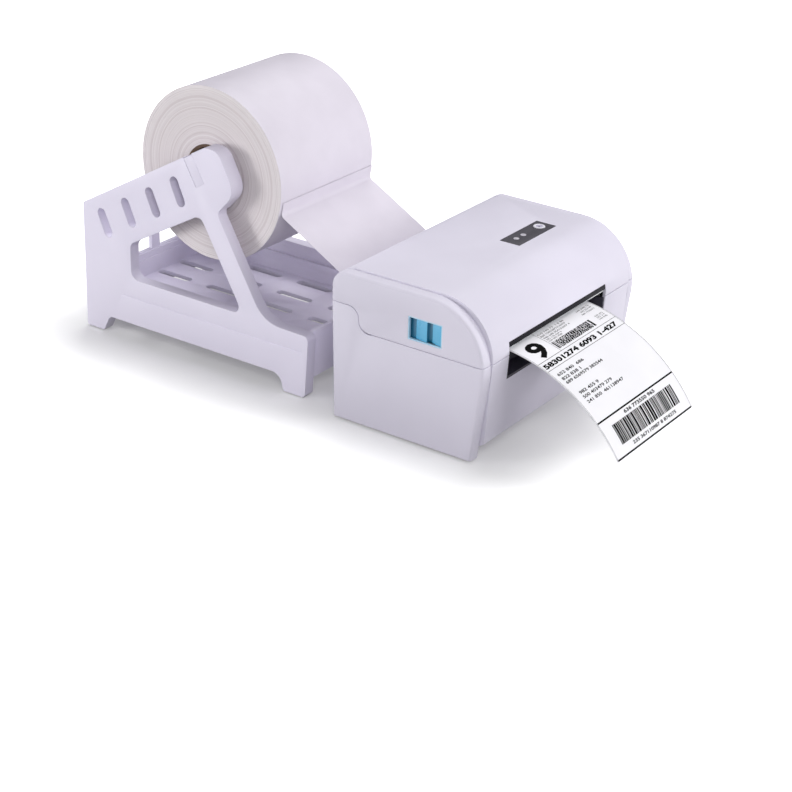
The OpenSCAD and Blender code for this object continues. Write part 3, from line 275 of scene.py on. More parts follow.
def surface(name, pattern, deep, pale, rough, relief, specular=0.5, metallic=0.0, values=None,
            spread=(0.35, 0.65)):
    """A finish laid out by a pattern group: two close tones, a range of roughness, a relief in metres."""
    material, output = new_material(name)
    tree = material.node_tree
    place = tree.nodes.new("ShaderNodeTexCoord")
    masks = tree.nodes.new("ShaderNodeGroup")
    masks.node_tree = pattern
    for label, value in (values or {}).items():
        masks.inputs[label].default_value = value
    tree.links.new(place.outputs["Object"], masks.inputs["Vector"])
    share = tree.nodes.new("ShaderNodeMapRange")
    share.inputs["From Min"].default_value = spread[0]
    share.inputs["From Max"].default_value = spread[1]
    tree.links.new(masks.outputs["Tone"], share.inputs["Value"])
    tone = tree.nodes.new("ShaderNodeMix")
    tone.data_type = "RGBA"
    tone.inputs["A"].default_value = deep
    tone.inputs["B"].default_value = pale
    tree.links.new(share.outputs["Result"], tone.inputs["Factor"])
    polish = tree.nodes.new("ShaderNodeMapRange")
    polish.inputs["From Min"].default_value = 0.3
    polish.inputs["From Max"].default_value = 0.7
    polish.inputs["To Min"].default_value = rough[0]
    polish.inputs["To Max"].default_value = rough[1]
    tree.links.new(masks.outputs["Handling"], polish.inputs["Value"])
    bump = tree.nodes.new("ShaderNodeBump")
    bump.inputs["Strength"].default_value = 0.6
    bump.inputs["Distance"].default_value = relief
    tree.links.new(masks.outputs["Grain"], bump.inputs["Height"])
    body = tree.nodes.new("ShaderNodeBsdfPrincipled")
    body.inputs["Specular IOR Level"].default_value = specular
    body.inputs["Metallic"].default_value = metallic
    tree.links.new(tone.outputs["Result"], body.inputs["Base Color"])
    tree.links.new(polish.outputs["Result"], body.inputs["Roughness"])
    tree.links.new(bump.outputs["Normal"], body.inputs["Normal"])
    tree.links.new(body.outputs["BSDF"], output.inputs["Surface"])
    return material


def piece_of(bm, name, material, body, sharp=40):
    """Turns a bmesh into a finished piece that rides on a body; edges over sharp degrees stay crisp."""
    bmesh.ops.remove_doubles(bm, verts=bm.verts, dist=1e-6)
    for face in bm.faces:
        face.smooth = True
    for edge in bm.edges:
        edge.smooth = not (len(edge.link_faces) == 2 and edge.calc_face_angle(0) > math.radians(sharp))
    mesh = bpy.data.meshes.new(name)
    bm.to_mesh(mesh)
    bm.free()
    mesh.materials.append(material)
    piece = bpy.data.objects.new(name, mesh)
    bpy.context.scene.collection.objects.link(piece)
    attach(piece, body)
    return piece


def eased(node_name, radius, material, segments=2, sharp=30, wide=None):
    """Stands for a CAD node: the same solid with its sharp edges rounded.
    wide is a (radius, test of an edge's middle) for edges that are rounder than the rest."""
    source = nodes[node_name]
    bm = bmesh.new()
    bm.from_mesh(source.data)
    bmesh.ops.remove_doubles(bm, verts=bm.verts, dist=2e-6)
    bmesh.ops.dissolve_limit(bm, angle_limit=math.radians(0.4), verts=bm.verts, edges=bm.edges)
    rounds = [(radius, lambda middle: True, segments)]
    if wide:
        rounds = [(*wide, segments + 2)] + rounds
    for offset, wanted, steps in rounds:
        corners = [e for e in bm.edges if len(e.link_faces) == 2
                   and e.calc_face_angle(0) > math.radians(sharp)
                   and wanted((e.verts[0].co + e.verts[1].co) / 2)]
        bmesh.ops.bevel(bm, geom=corners, offset=offset, offset_type="OFFSET", segments=steps,
                        profile=0.5, affect="EDGES", clamp_overlap=True, material=-1)
    piece = piece_of(bm, node_name + "_moulded", material, source["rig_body"])
    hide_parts(node_name)
    return piece


housing_plastic = surface("lilac_grey_abs", moulded_skin, srgb(221, 217, 231), srgb(226, 222, 236),
                          rough=(0.5, 0.62), relief=0.03 * mm, specular=0.4)
housing_edge = 0.35 * mm
for name in ("base_shell", "base_cheek_left", "base_cheek_right",
             "cover_shell", "cover_cheek_left", "cover_cheek_right"):
    eased(name, housing_edge, housing_plastic)


# ---- Bottom plate, screws and feet ----
# A flat grey ABS plate closes the base from below and carries the posts of the main board.
# Four screws hold it with their heads flush in the plate, and four round rubber feet are stuck on.

plate_plastic = surface("grey_abs", moulded_skin, srgb(150, 149, 158), srgb(160, 159, 168),
                        rough=(0.45, 0.6), relief=0.04 * mm)
eased("bottom_plate", 0.3 * mm, plate_plastic)

# Drawn and rolled metal: long fine lines along one axis, and a slow change of tone
drawn_metal, given, made = pattern_group("drawn_metal", {"Along X": 0.02, "Along Y": 1.0, "Along Z": 1.0,
                                                         "Lines per metre": 6000.0})
stretch = drawn_metal.nodes.new("ShaderNodeCombineXYZ")
for axis in ("X", "Y", "Z"):
    drawn_metal.links.new(given.outputs["Along " + axis], stretch.inputs[axis])
drawn = drawn_metal.nodes.new("ShaderNodeVectorMath")
drawn.operation = "MULTIPLY"
drawn_metal.links.new(given.outputs["Vector"], drawn.inputs[0])
drawn_metal.links.new(stretch.outputs["Vector"], drawn.inputs[1])
drawn_metal.links.new(noise(drawn_metal, given.outputs["Vector"], 60, detail=3), made.inputs["Tone"])
drawn_metal.links.new(noise(drawn_metal, drawn.outputs["Vector"], given.outputs["Lines per metre"]),
                      made.inputs["Grain"])
drawn_metal.links.new(noise(drawn_metal, given.outputs["Vector"], 160, detail=4, roughness=0.6),
                      made.inputs["Handling"])

even = {"Along X": 1.0}
zinc = surface("zinc_plate", drawn_metal, srgb(176, 178, 182), srgb(196, 198, 202),
               rough=(0.26, 0.4), relief=0.01 * mm, metallic=1.0, values=even)


def pan_head(radius, height):
    """A pan head standing on the XY plane, with a cross recess in its crown."""
    bm = bmesh.new()
    arm, web, depth = 0.52 * radius, 0.13 * radius, 0.6 * height
    arm_foot = 0.8 * arm

    def ring(size, z):
        """A round loop of the head's side or crown."""
        bmesh.ops.create_circle(bm, segments=24, radius=size, matrix=Matrix.Translation((0, 0, z)))

    def cross(size, z):
        """A loop in the outline of the cross, drawn in from a ring."""
        turned = Matrix.Translation((0, 0, z)) @ Matrix.Rotation(math.radians(15), 4, "Z")
        corners = bmesh.ops.create_circle(bm, segments=12, radius=size, matrix=turned)["verts"]
        for v in corners:
            x, y = abs(v.co.x), abs(v.co.y)
            x, y = (web, web) if abs(x - y) < 0.1 * size else ((size, web) if x > y else (web, size))
            v.co.x, v.co.y = math.copysign(x, v.co.x), math.copysign(y, v.co.y)
        bmesh.ops.subdivide_edges(bm, edges=list({e for v in corners for e in v.link_edges}), cuts=1)

    def level(z):
        """The edges at one height."""
        return [e for e in bm.edges if all(abs(v.co.z - z) < 1e-7 for v in e.verts)]

    heights = (0, 0.55 * height, 0.86 * height, 0.98 * height, height, height - depth)
    for size, z in zip((radius, radius, 0.9 * radius, 0.66 * radius), heights):
        ring(size, z)
    cross(arm, heights[4])
    cross(arm_foot, heights[5])
    for low, high in zip(heights, heights[1:]):
        bmesh.ops.bridge_loops(bm, edges=level(low) + level(high))
    bmesh.ops.contextual_create(bm, geom=level(heights[5]))
    bmesh.ops.contextual_create(bm, geom=level(heights[0]))
    bmesh.ops.recalc_face_normals(bm, faces=bm.faces)
    mesh = bpy.data.meshes.new("pan_head")
    bm.to_mesh(mesh)
    bm.free()
    return mesh


def screws(node_name, places, radius, height, material):
    """Stands for a node of screws: a pan head at each (place, outward direction) and a shank behind it."""
    shank_radius, shank_length = 1.4 * mm, 2.2 * mm
    head = pan_head(radius, height)
    bm = bmesh.new()
    for place, outward in places:
        stand = Matrix.Translation(place) @ Vector(outward).to_track_quat("Z", "Y").to_matrix().to_4x4()
        posed = head.copy()
        posed.transform(stand)
        bm.from_mesh(posed)
        shank_at = stand @ Matrix.Translation((0, 0, -0.5 * shank_length))
        bmesh.ops.create_cone(bm, cap_ends=True, segments=20, radius1=shank_radius, radius2=shank_radius,
                              depth=shank_length, matrix=shank_at)
    piece = piece_of(bm, node_name + "_turned", material, nodes[node_name]["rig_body"])
    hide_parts(node_name)


low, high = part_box("bottom_plate")
plate_screw_in, plate_screw_seat = 4 * mm, 1.4 * mm
corners = [(x, y) for x in (low.x + plate_screw_in, high.x - plate_screw_in)
           for y in (low.y + plate_screw_in, high.y - plate_screw_in)]
screws("bottom_screws", [((x, y, low.z + plate_screw_seat), (0, 0, -1)) for x, y in corners],
       radius=2.7 * mm, height=1.3 * mm, material=zinc)

# Rubber: matt, with a soft even tone
feet_rubber = surface("foot_rubber", moulded_skin, srgb(42, 42, 44), srgb(52, 52, 55),
                      rough=(0.75, 0.9), relief=0.06 * mm, specular=0.3, values={"Grain per metre": 1800.0})
eased("rubber_feet", 0.3 * mm, feet_rubber)


# ---- Side frames and rear guide bar ----
# Two zinc-plated steel side frames stand on the bottom plate and carry the platen, deck and guide bar.
# The guide bar is a ground steel rod, over which the paper turns down towards the printhead.

sheet_zinc = surface("rolled_zinc", drawn_metal, srgb(168, 171, 176), srgb(190, 192, 197),
                     rough=(0.3, 0.46), relief=0.008 * mm, metallic=1.0,
                     values={"Along X": 1.0, "Along Y": 0.05})
for name in ("side_frame_left", "side_frame_right"):
    eased(name, 0.15 * mm, sheet_zinc)
ground_steel = surface("ground_steel", drawn_metal, srgb(186, 187, 190), srgb(205, 206, 208),
                       rough=(0.16, 0.28), relief=0.006 * mm, metallic=1.0)
for name in ("rear_guide_bar", "hinge_pins", "latch_strikers"):
    eased(name, 0.2 * mm, ground_steel)


# ---- Platen roller ----
# A ground steel shaft turns in ivory acetal bushes and carries a sleeve of black silicone rubber.
# The rubber is ground round, which leaves a fine matt grain along the circumference.

eased("platen_shaft", 0.3 * mm, ground_steel)
bush_acetal = surface("bush_acetal", moulded_skin, srgb(226, 219, 198), srgb(233, 227, 208),
                      rough=(0.35, 0.5), relief=0.02 * mm)
eased("platen_bushes", 0.2 * mm, bush_acetal)
platen_silicone = surface("platen_silicone", drawn_metal, srgb(34, 34, 37), srgb(44, 44, 47),
                          rough=(0.6, 0.78), relief=0.02 * mm, specular=0.35,
                          values={"Along X": 6.0, "Along Y": 0.3, "Along Z": 0.3})
eased("platen_rubber", 0.3 * mm, platen_silicone)


# ---- Gear train ----
# The platen gear and the idler are moulded in white acetal, and the motor's pinion is cut from brass.
# The idler runs on a shouldered pin that is riveted into the right-hand frame.

gear_acetal = surface("gear_acetal", moulded_skin, srgb(222, 222, 218), srgb(232, 232, 229),
                      rough=(0.3, 0.42), relief=0.015 * mm)
for name in ("platen_gear", "idler_gear"):
    eased(name, 0.08 * mm, gear_acetal, segments=1)
pinion_brass = surface("pinion_brass", drawn_metal, srgb(188, 152, 84), srgb(206, 172, 104),
                       rough=(0.2, 0.34), relief=0.006 * mm, metallic=1.0)
eased("motor_pinion", 0.05 * mm, pinion_brass, segments=1)
eased("idler_pin", 0.15 * mm, zinc)


# ---- Stepper motor ----
# A round stepper motor in a black-painted can is pressed into the right-hand frame beside the platen.
# A rolled seam runs round the can where its two cups meet.

motor_paint = surface("motor_paint", moulded_skin, srgb(50, 50, 55), srgb(60, 60, 66),
                      rough=(0.38, 0.55), relief=0.03 * mm)
eased("stepper_motor", 0.8 * mm, motor_paint, segments=3)
low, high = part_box("stepper_motor")
motor_mid, can_radius = (low + high) / 2, 17.5 * mm


def turned_piece(section, centre, axis, steps, closed=False):
    """A bmesh turned from the points of a section, about an axis through centre."""
    bm = bmesh.new()
    verts = [bm.verts.new(point) for point in section]
    after = verts[1:] + verts[:1] if closed else verts[1:]
    edges = [bm.edges.new(pair) for pair in zip(verts, after)]
    bmesh.ops.spin(bm, geom=verts + edges, cent=centre, axis=axis, angle=math.tau, steps=steps,
                   use_merge=True)
    bmesh.ops.remove_doubles(bm, verts=bm.verts, dist=1e-6)
    bmesh.ops.recalc_face_normals(bm, faces=bm.faces)
    return bm


# The seam's section, in millimetres along the can and out of it
seam_section = ((-0.9, -0.15), (-0.6, 0.3), (0, 0.4), (0.6, 0.3), (0.9, -0.15))
bm = turned_piece([(motor_mid.x + along * mm, motor_mid.y, motor_mid.z + can_radius + out * mm)
                   for along, out in seam_section], motor_mid, (1, 0, 0), steps=64)
piece_of(bm, "motor_seam", motor_paint, "printer_base", sharp=70)


# ---- Paper deck, guides and gap sensor ----
# A dark grey ABS deck lies between the side frames and leads the paper to the platen.
# A fixed and a sliding guide keep the paper straight, and an optical sensor in the deck finds the gaps.

deck_plastic = surface("dark_grey_abs", moulded_skin, srgb(64, 62, 70), srgb(72, 70, 79),
                       rough=(0.42, 0.56), relief=0.03 * mm)
for name in ("media_deck", "fixed_side_guide", "sliding_side_guide"):
    eased(name, 0.25 * mm, deck_plastic)
sensor_plastic = surface("sensor_plastic", moulded_skin, srgb(24, 24, 28), srgb(31, 31, 36),
                         rough=(0.3, 0.42), relief=0.01 * mm)
eased("gap_sensor", 0.15 * mm, sensor_plastic)


# ---- Main board ----
# A green fibreglass board with tinned copper tracks stands on four posts of the bottom plate.
# Black chips, capacitors and connectors are soldered to its top, the flat chips by rows of tinned legs.

tracks, given, made = pattern_group("board_tracks", {"Tracks per metre": 260.0})
cells = tracks.nodes.new("ShaderNodeTexVoronoi")
cells.feature = "DISTANCE_TO_EDGE"
tracks.links.new(given.outputs["Vector"], cells.inputs["Vector"])
tracks.links.new(given.outputs["Tracks per metre"], cells.inputs["Scale"])
track_width = 0.06
on_track = worked(tracks, "LESS_THAN", cells.outputs["Distance"], track_width)
tracks.links.new(on_track, made.inputs["Tone"])
tracks.links.new(on_track, made.inputs["Grain"])
tracks.links.new(noise(tracks, given.outputs["Vector"], 90, detail=3), made.inputs["Handling"])
board_mask = surface("green_board", tracks, srgb(22, 74, 44), srgb(46, 112, 66),
                     rough=(0.28, 0.4), relief=0.03 * mm, spread=(0.0, 1.0))
eased("main_board", 0.1 * mm, board_mask, segments=1)
chip_resin = surface("chip_resin", moulded_skin, srgb(30, 30, 33), srgb(38, 38, 42),
                     rough=(0.5, 0.66), relief=0.02 * mm)
eased("board_components", 0.2 * mm, chip_resin)

# Each flat chip's x, y, width and depth on the board, in millimetres, with legs along two of its sides
low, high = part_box("main_board")
chips = ((34, 16.5, 14, 14), (8, 14.5, 10, 12), (66, 34.5, 8, 10))
leg_pitch, leg_out, leg_size = 1.27 * mm, 0.4 * mm, Vector((1.0, 0.45, 0.25)) * mm
bm = bmesh.new()
for x, y, width, depth in chips:
    legs = int(depth * mm / leg_pitch) - 1
    for side in (-1, 1):
        for k in range(legs):
            place = Vector((low.x + (x + width / 2) * mm + side * (width / 2 * mm + leg_out),
                            low.y + y * mm + leg_pitch * (k + 1), high.z + leg_size.z / 2))
            bmesh.ops.create_cube(bm, size=1,
                                  matrix=Matrix.Translation(place) @ Matrix.Diagonal((*leg_size, 1)))
piece_of(bm, "chip_legs", zinc, "printer_base")


# ---- Rear sockets and power switch ----
# A folded steel USB socket, a black power inlet and a rocker switch face through the rear wall.
# The switch frame snaps into its hole, and its rocker carries the marks for on and off.

socket_nickel = surface("socket_nickel", drawn_metal, srgb(196, 194, 188), srgb(212, 210, 205),
                        rough=(0.2, 0.32), relief=0.006 * mm, metallic=1.0, values=even)
eased("usb_socket", 0.15 * mm, socket_nickel)
socket_black = surface("socket_black", moulded_skin, srgb(27, 27, 30), srgb(34, 34, 38),
                       rough=(0.34, 0.48), relief=0.02 * mm)
inlet = eased("dc_inlet", 0.15 * mm, socket_black)
low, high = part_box("dc_inlet")
pin_zone, pin_start = 1.3 * mm, 1 * mm
inlet.data.materials.append(socket_nickel)
for face in inlet.data.polygons:
    off = Vector((face.center.x - (low.x + high.x) / 2, 0, face.center.z - (low.z + high.z) / 2))
    if off.length < pin_zone and face.center.y > low.y + pin_start:
        face.material_index = 1
eased("switch_frame", 0.3 * mm, socket_black)
rocker_black = surface("rocker_black", moulded_skin, srgb(20, 20, 22), srgb(26, 26, 29),
                       rough=(0.22, 0.34), relief=0.01 * mm)
eased("switch_rocker", 0.2 * mm, rocker_black)

# White stroke and ring on the rocker's two halves, which slope to either side of its tilt
low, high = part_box("switch_rocker")
axis_depth, half_reach, half_height = 4.72 * mm, 4.03 * mm, 3.1 * mm
rocker_tilt, half_slope = math.radians(12), math.atan2(1.2, 6.2)
stroke_size = (0.5 * mm, 2.6 * mm)
ring_outer, ring_inner = 1.4 * mm, 0.95 * mm
rocker_axis = Vector(((low.x + high.x) / 2, high.y - axis_depth, (low.z + high.z) / 2))
mark_white = surface("mark_white", moulded_skin, srgb(222, 222, 222), srgb(230, 230, 230),
                     rough=(0.4, 0.5), relief=0.005 * mm)
bm = bmesh.new()
for half in (1, -1):
    slope = rocker_tilt - half * half_slope
    tilted = Matrix.Translation(rocker_axis) @ Matrix.Rotation(rocker_tilt, 4, "X")
    face_mid = tilted @ Vector((0, half_reach, half * half_height))
    stand = (Matrix.Translation(face_mid) @ Matrix.Rotation(slope, 4, "X")
             @ Matrix.Rotation(math.radians(-90), 4, "X"))
    if half > 0:
        bmesh.ops.create_grid(bm, x_segments=1, y_segments=1, size=0.5,
                              matrix=stand @ Matrix.Diagonal((*stroke_size, 1, 1)))
    else:
        outer = bmesh.ops.create_circle(bm, segments=32, radius=ring_outer, matrix=stand)["verts"]
        inner = bmesh.ops.create_circle(bm, segments=32, radius=ring_inner, matrix=stand)["verts"]
        bmesh.ops.bridge_loops(bm, edges=list({e for v in outer + inner for e in v.link_edges}))
for face in bm.faces:
    face.normal_update()
    if face.normal.y < 0:
        face.normal_flip()
piece_of(bm, "switch_marks", mark_white, "power_rocker")


# ---- Exit slot ----
# A dark violet-grey ABS chute lines the slot in the base, and a nearly black matt lip closes it from above.
# A bright steel tear bar with small teeth is fixed under the lip.

bezel_plastic = surface("dark_violet_abs", moulded_skin, srgb(40, 37, 50), srgb(48, 45, 59),
                        rough=(0.5, 0.62), relief=0.02 * mm, specular=0.3)
lip_plastic = surface("dark_lip_abs", moulded_skin, srgb(22, 20, 27), srgb(28, 26, 34),
                      rough=(0.6, 0.72), relief=0.02 * mm, specular=0.12)
eased("front_bezel", 0.25 * mm, bezel_plastic)
eased("upper_bezel", 0.25 * mm, lip_plastic)
eased("tear_bar", 0.05 * mm, ground_steel, segments=1)


# ---- Latches ----
# A pale blue frame snaps into a window of each cover cheek, and a blue thumb slider runs behind it.
# A steel hook on the slider catches a pin in the base. The hollow of the thumb grip and the slider behind
# the grip are a darker blue, painted shade.

frame_blue = surface("pale_blue_abs", moulded_skin, srgb(176, 214, 236), srgb(188, 222, 241),
                     rough=(0.3, 0.42), relief=0.02 * mm)
slider_blue = surface("latch_blue_abs", moulded_skin, srgb(82, 172, 214), srgb(94, 182, 221),
                      rough=(0.26, 0.38), relief=0.02 * mm)
eased("latch_window_frames", 0.15 * mm, frame_blue)
# A darker blue, painted as the shade in the grip's hollow and in the gap behind the grip
painted_shade_blue = surface("painted_shade_blue", moulded_skin, srgb(12, 92, 124), srgb(20, 102, 134),
                      rough=(0.3, 0.42), relief=0.02 * mm)
grip_start, grip_length, grip_depth = 1.1 * mm, 20.1 * mm, 2.25 * mm
shade_band_front, shade_band_rear, side_facing = 0.38, 0.53, 0.7
window_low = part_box("latch_window_frames")[0]
# Faces in the grip's hollow and past its rear end take the darker blue as painted shade
for name in ("latch_slider_left", "latch_slider_right"):
    slider = eased(name, 0.2 * mm, slider_blue)
    slider.data.materials.append(painted_shade_blue)
    side_x = max(abs(corner.x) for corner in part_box(name))
    for face in slider.data.polygons:
        share = (face.center.y - window_low.y - grip_start) / grip_length
        at_grip = abs(face.center.x) > side_x - grip_depth and abs(face.normal.z) < side_facing
        if at_grip and (shade_band_front < share < shade_band_rear or share > 1.0):
            face.material_index = 1
for name in ("latch_hook_left", "latch_hook_right"):
    eased(name, 0.15 * mm, sheet_zinc)


# ---- Control panel ----
# A dark grey ABS panel is glued into a shallow seat of the cover, round a white feed button and two lights.
# A small board hangs on two studs under the cover's top and carries the button's switch and light pipes.

panel_plastic = surface("slate_abs", moulded_skin, srgb(62, 59, 68), srgb(70, 67, 76),
                        rough=(0.5, 0.64), relief=0.03 * mm, specular=0.3)
eased("control_panel", 0.25 * mm, panel_plastic)
button_plastic = surface("button_abs", moulded_skin, srgb(232, 230, 240), srgb(240, 238, 247),
                         rough=(0.22, 0.34), relief=0.01 * mm)
pipe_plastic = surface("light_pipe_acrylic", moulded_skin, srgb(196, 192, 202), srgb(208, 204, 213),
                       rough=(0.12, 0.22), relief=0.004 * mm)
eased("status_lights", 0.35 * mm, pipe_plastic, segments=3)
small_board = surface("small_board", tracks, srgb(24, 80, 48), srgb(52, 118, 72),
                      rough=(0.3, 0.42), relief=0.03 * mm, spread=(0.0, 1.0))
eased("panel_board", 0.1 * mm, small_board, segments=1)

# The button: the cap with its dish, its flange and its stem is turned as one section about the axis.
# The section is in millimetres, out from the axis and up from the cap's top.
low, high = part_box("feed_button")
button_mid = Vector(((low.x + high.x) / 2, (low.y + high.y) / 2, 0))
cap_top, stem_foot = high.z, (low.z - high.z) / mm
dish_depth, dish_radius, dot_radius = 0.8 * mm, 2.55 * mm, 0.8 * mm
cap = ((0.0, -0.55), (0.7, -0.55), (0.75, -0.5), (0.8, -0.35), (2.3, -0.35), (2.5, -0.25), (2.7, -0.05),
       (2.85, 0.0), (3.8, 0.0), (4.05, -0.08), (4.2, -0.3), (4.2, -3.15), (5.6, -3.2), (5.7, -3.3),
       (5.7, -4.3), (5.6, -4.4), (2.0, -4.4), (2.0, stem_foot + 0.2), (1.8, stem_foot), (0.0, stem_foot))
bm = turned_piece([button_mid + Vector((r * mm, 0, cap_top + z * mm)) for r, z in cap],
                  button_mid, (0, 0, 1), steps=64)
button = piece_of(bm, "feed_button_cap", button_plastic, "feed_button", sharp=55)
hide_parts("feed_button")
button_lilac = surface("button_lilac", moulded_skin, srgb(186, 180, 205), srgb(194, 188, 212),
                       rough=(0.3, 0.42), relief=0.005 * mm)
button_dark = surface("button_dot", moulded_skin, srgb(60, 58, 70), srgb(68, 66, 78),
                      rough=(0.4, 0.5), relief=0.005 * mm)
button.data.materials.append(button_lilac)
button.data.materials.append(button_dark)
for face in button.data.polygons:
    off = (face.center - button_mid).xy.length
    if face.center.z > cap_top - dish_depth and off < dish_radius:
        face.material_index = 2 if off < dot_radius else 1


# ---- Printhead ----
# A glazed ceramic head is bonded to an extruded aluminium heat sink, which floats on two coil springs.
# A pressed steel frame under the cover's top holds the springs by two studs.

head_ceramic = surface("head_ceramic", moulded_skin, srgb(132, 118, 88), srgb(144, 130, 98),
                       rough=(0.14, 0.26), relief=0.004 * mm)
eased("printhead", 0.1 * mm, head_ceramic)
sink_aluminium = surface("sink_aluminium", drawn_metal, srgb(182, 184, 188), srgb(200, 202, 206),
                         rough=(0.28, 0.42), relief=0.01 * mm, metallic=1.0)
eased("heat_sink", 0.15 * mm, sink_aluminium)
frame_paint = surface("frame_paint", moulded_skin, srgb(84, 83, 92), srgb(94, 93, 102),
                      rough=(0.4, 0.55), relief=0.02 * mm)
eased("head_frame", 0.15 * mm, frame_paint)

# Closed and ground coil springs of round wire, which shorten as the head floats up
spring_wire = surface("spring_wire", drawn_metal, srgb(190, 191, 194), srgb(208, 209, 212),
                      rough=(0.14, 0.24), relief=0.004 * mm, metallic=1.0)
low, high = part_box("head_springs")
wire_r, coil_r, coil_inset, dead_turns, live_turns = 0.45 * mm, 2.95 * mm, 3.5 * mm, 1.0, 3.5
coil_y, coil_low, coil_high = (low.y + high.y) / 2, low.z + wire_r, high.z - wire_r
dead_rise = 2 * wire_r
live_rise = coil_high - coil_low - 2 * dead_rise
bm = bmesh.new()
for x in (low.x + coil_inset, high.x - coil_inset):
    mid = Vector((x, coil_y, coil_low))
    wire = bmesh.ops.create_circle(bm, segments=10, radius=wire_r, cap_ends=True,
                                   matrix=Matrix.Translation(mid + Vector((coil_r, 0, 0)))
                                   @ Matrix.Rotation(math.radians(90), 4, "X"))["verts"]
    faces = {f for v in wire for f in v.link_faces}
    for turns, rise in ((dead_turns, dead_rise), (live_turns, live_rise), (dead_turns, dead_rise)):
        steps = int(32 * turns)
        spun = bmesh.ops.spin(bm, geom=list(faces), cent=mid, axis=(0, 0, 1), angle=math.tau * turns,
                              steps=steps, dvec=(0, 0, rise / steps), use_duplicate=False)
        faces = {g for g in spun["geom_last"] if isinstance(g, bmesh.types.BMFace)}
bmesh.ops.recalc_face_normals(bm, faces=bm.faces)
springs = piece_of(bm, "coil_springs", spring_wire, "cover", sharp=60)
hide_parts("head_springs")
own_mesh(springs)


# ---- Roll stand ----
# Two moulded lilac-grey ABS side plates with thick rounded heads are screwed to a slotted tray between them.
# The plates' outer edges are well rounded, and each plate stands on two rubber pads.

stand_plastic = surface("stand_abs", moulded_skin, srgb(229, 224, 241), srgb(234, 229, 245),
                        rough=(0.38, 0.5), relief=0.03 * mm)
# The edges round the spindle bar's notch, within key_reach of it, stay as tight as the inner ones
outline_round, edge_round, at_face, key_reach = 1.7 * mm, 0.5 * mm, 0.1 * mm, 13 * mm
low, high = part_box("spindle_bar")
key_mid = (low + high).yz / 2
for name in ("stand_side_left", "stand_side_right"):
    low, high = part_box(name)
    outer_x = low.x if name == "stand_side_left" else high.x
    eased(name, edge_round, stand_plastic, sharp=35,
          wide=(outline_round,
                lambda p: abs(p.x - outer_x) < at_face and (p.yz - key_mid).length > key_reach))
eased("stand_tray", 0.4 * mm, stand_plastic)
pad_rubber = surface("pad_rubber", moulded_skin, srgb(46, 46, 48), srgb(56, 56, 58),
                     rough=(0.7, 0.88), relief=0.05 * mm, specular=0.3)
eased("stand_pads", 0.2 * mm, pad_rubber)

# Pan heads inside the tray's rims
low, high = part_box("stand_screws")
stand_head, rim_wall = 2.9 * mm, 3 * mm
screw_z = (low.z + high.z) / 2
tray_low, tray_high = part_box("stand_tray")
screws("stand_screws", [((x, y, screw_z), (side, 0, 0)) for y in (low.y + stand_head, high.y - stand_head)
                        for x, side in ((tray_low.x + rim_wall, 1), (tray_high.x - rim_wall, -1))],
       radius=stand_head, height=1.6 * mm, material=zinc)


# ---- Spindle bar ----
# A round lilac-grey ABS bar carries the roll, and its flat end keys stand in notches of the stand's heads.
# It lifts straight out of the notches for a new roll.

bar_plastic = surface("bar_abs", moulded_skin, srgb(226, 221, 238), srgb(231, 226, 242),
                      rough=(0.38, 0.5), relief=0.025 * mm)
eased("spindle_bar", 0.5 * mm, bar_plastic, segments=3)


# ---- Roll core ----
# The core is a tube wound from strips of brown kraft board, so a seam runs round it in a screw line.
# Both ends are cut square, level with the ends of the roll.

kraft, given, made = pattern_group("kraft_board", {"Fibres per metre": 900.0, "Seam lead": 50 * mm})
parts = kraft.nodes.new("ShaderNodeSeparateXYZ")
kraft.links.new(given.outputs["Vector"], parts.inputs["Vector"])
low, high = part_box("roll_core")
axis_y, axis_z = (low.y + high.y) / 2, (low.z + high.z) / 2
from_axis_y = worked(kraft, "SUBTRACT", parts.outputs["Y"], axis_y)
from_axis_z = worked(kraft, "SUBTRACT", parts.outputs["Z"], axis_z)
round_axis = worked(kraft, "DIVIDE", worked(kraft, "ARCTAN2", from_axis_z, from_axis_y), math.tau)
along = worked(kraft, "DIVIDE", parts.outputs["X"], given.outputs["Seam lead"])
seam_share, seam_depth = 0.02, 0.4
seam_turn = worked(kraft, "FRACT", worked(kraft, "ADD", along, round_axis))
seam_line = worked(kraft, "LESS_THAN", seam_turn, seam_share)
fibres = noise(kraft, given.outputs["Vector"], given.outputs["Fibres per metre"], detail=4, roughness=0.6)
patch = noise(kraft, given.outputs["Vector"], 70, detail=3)
board_tone = worked(kraft, "ADD", worked(kraft, "MULTIPLY", fibres, 0.5),
                    worked(kraft, "MULTIPLY", patch, 0.5))
kraft.links.new(worked(kraft, "SUBTRACT", board_tone, worked(kraft, "MULTIPLY", seam_line, seam_depth)),
                made.inputs["Tone"])
kraft.links.new(worked(kraft, "SUBTRACT", fibres, seam_line), made.inputs["Grain"])
kraft.links.new(patch, made.inputs["Handling"])
kraft_board = surface("brown_kraft", kraft, srgb(80, 64, 54), srgb(106, 87, 73),
                      rough=(0.75, 0.9), relief=0.06 * mm, specular=0.25)
eased("roll_core", 0.3 * mm, kraft_board)


# ---- Label roll ----
# A few hundred turns of white thermal labels on a glassine liner are wound tightly on the core.
# The turns stand out of line by fractions of a millimetre, so the ends of the roll show fine uneven rings.

low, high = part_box("label_roll")
roll_mid = (low + high) / 2
roll_outer, roll_inner = (high.z - low.z) / 2, axis_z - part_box("roll_core")[0].z
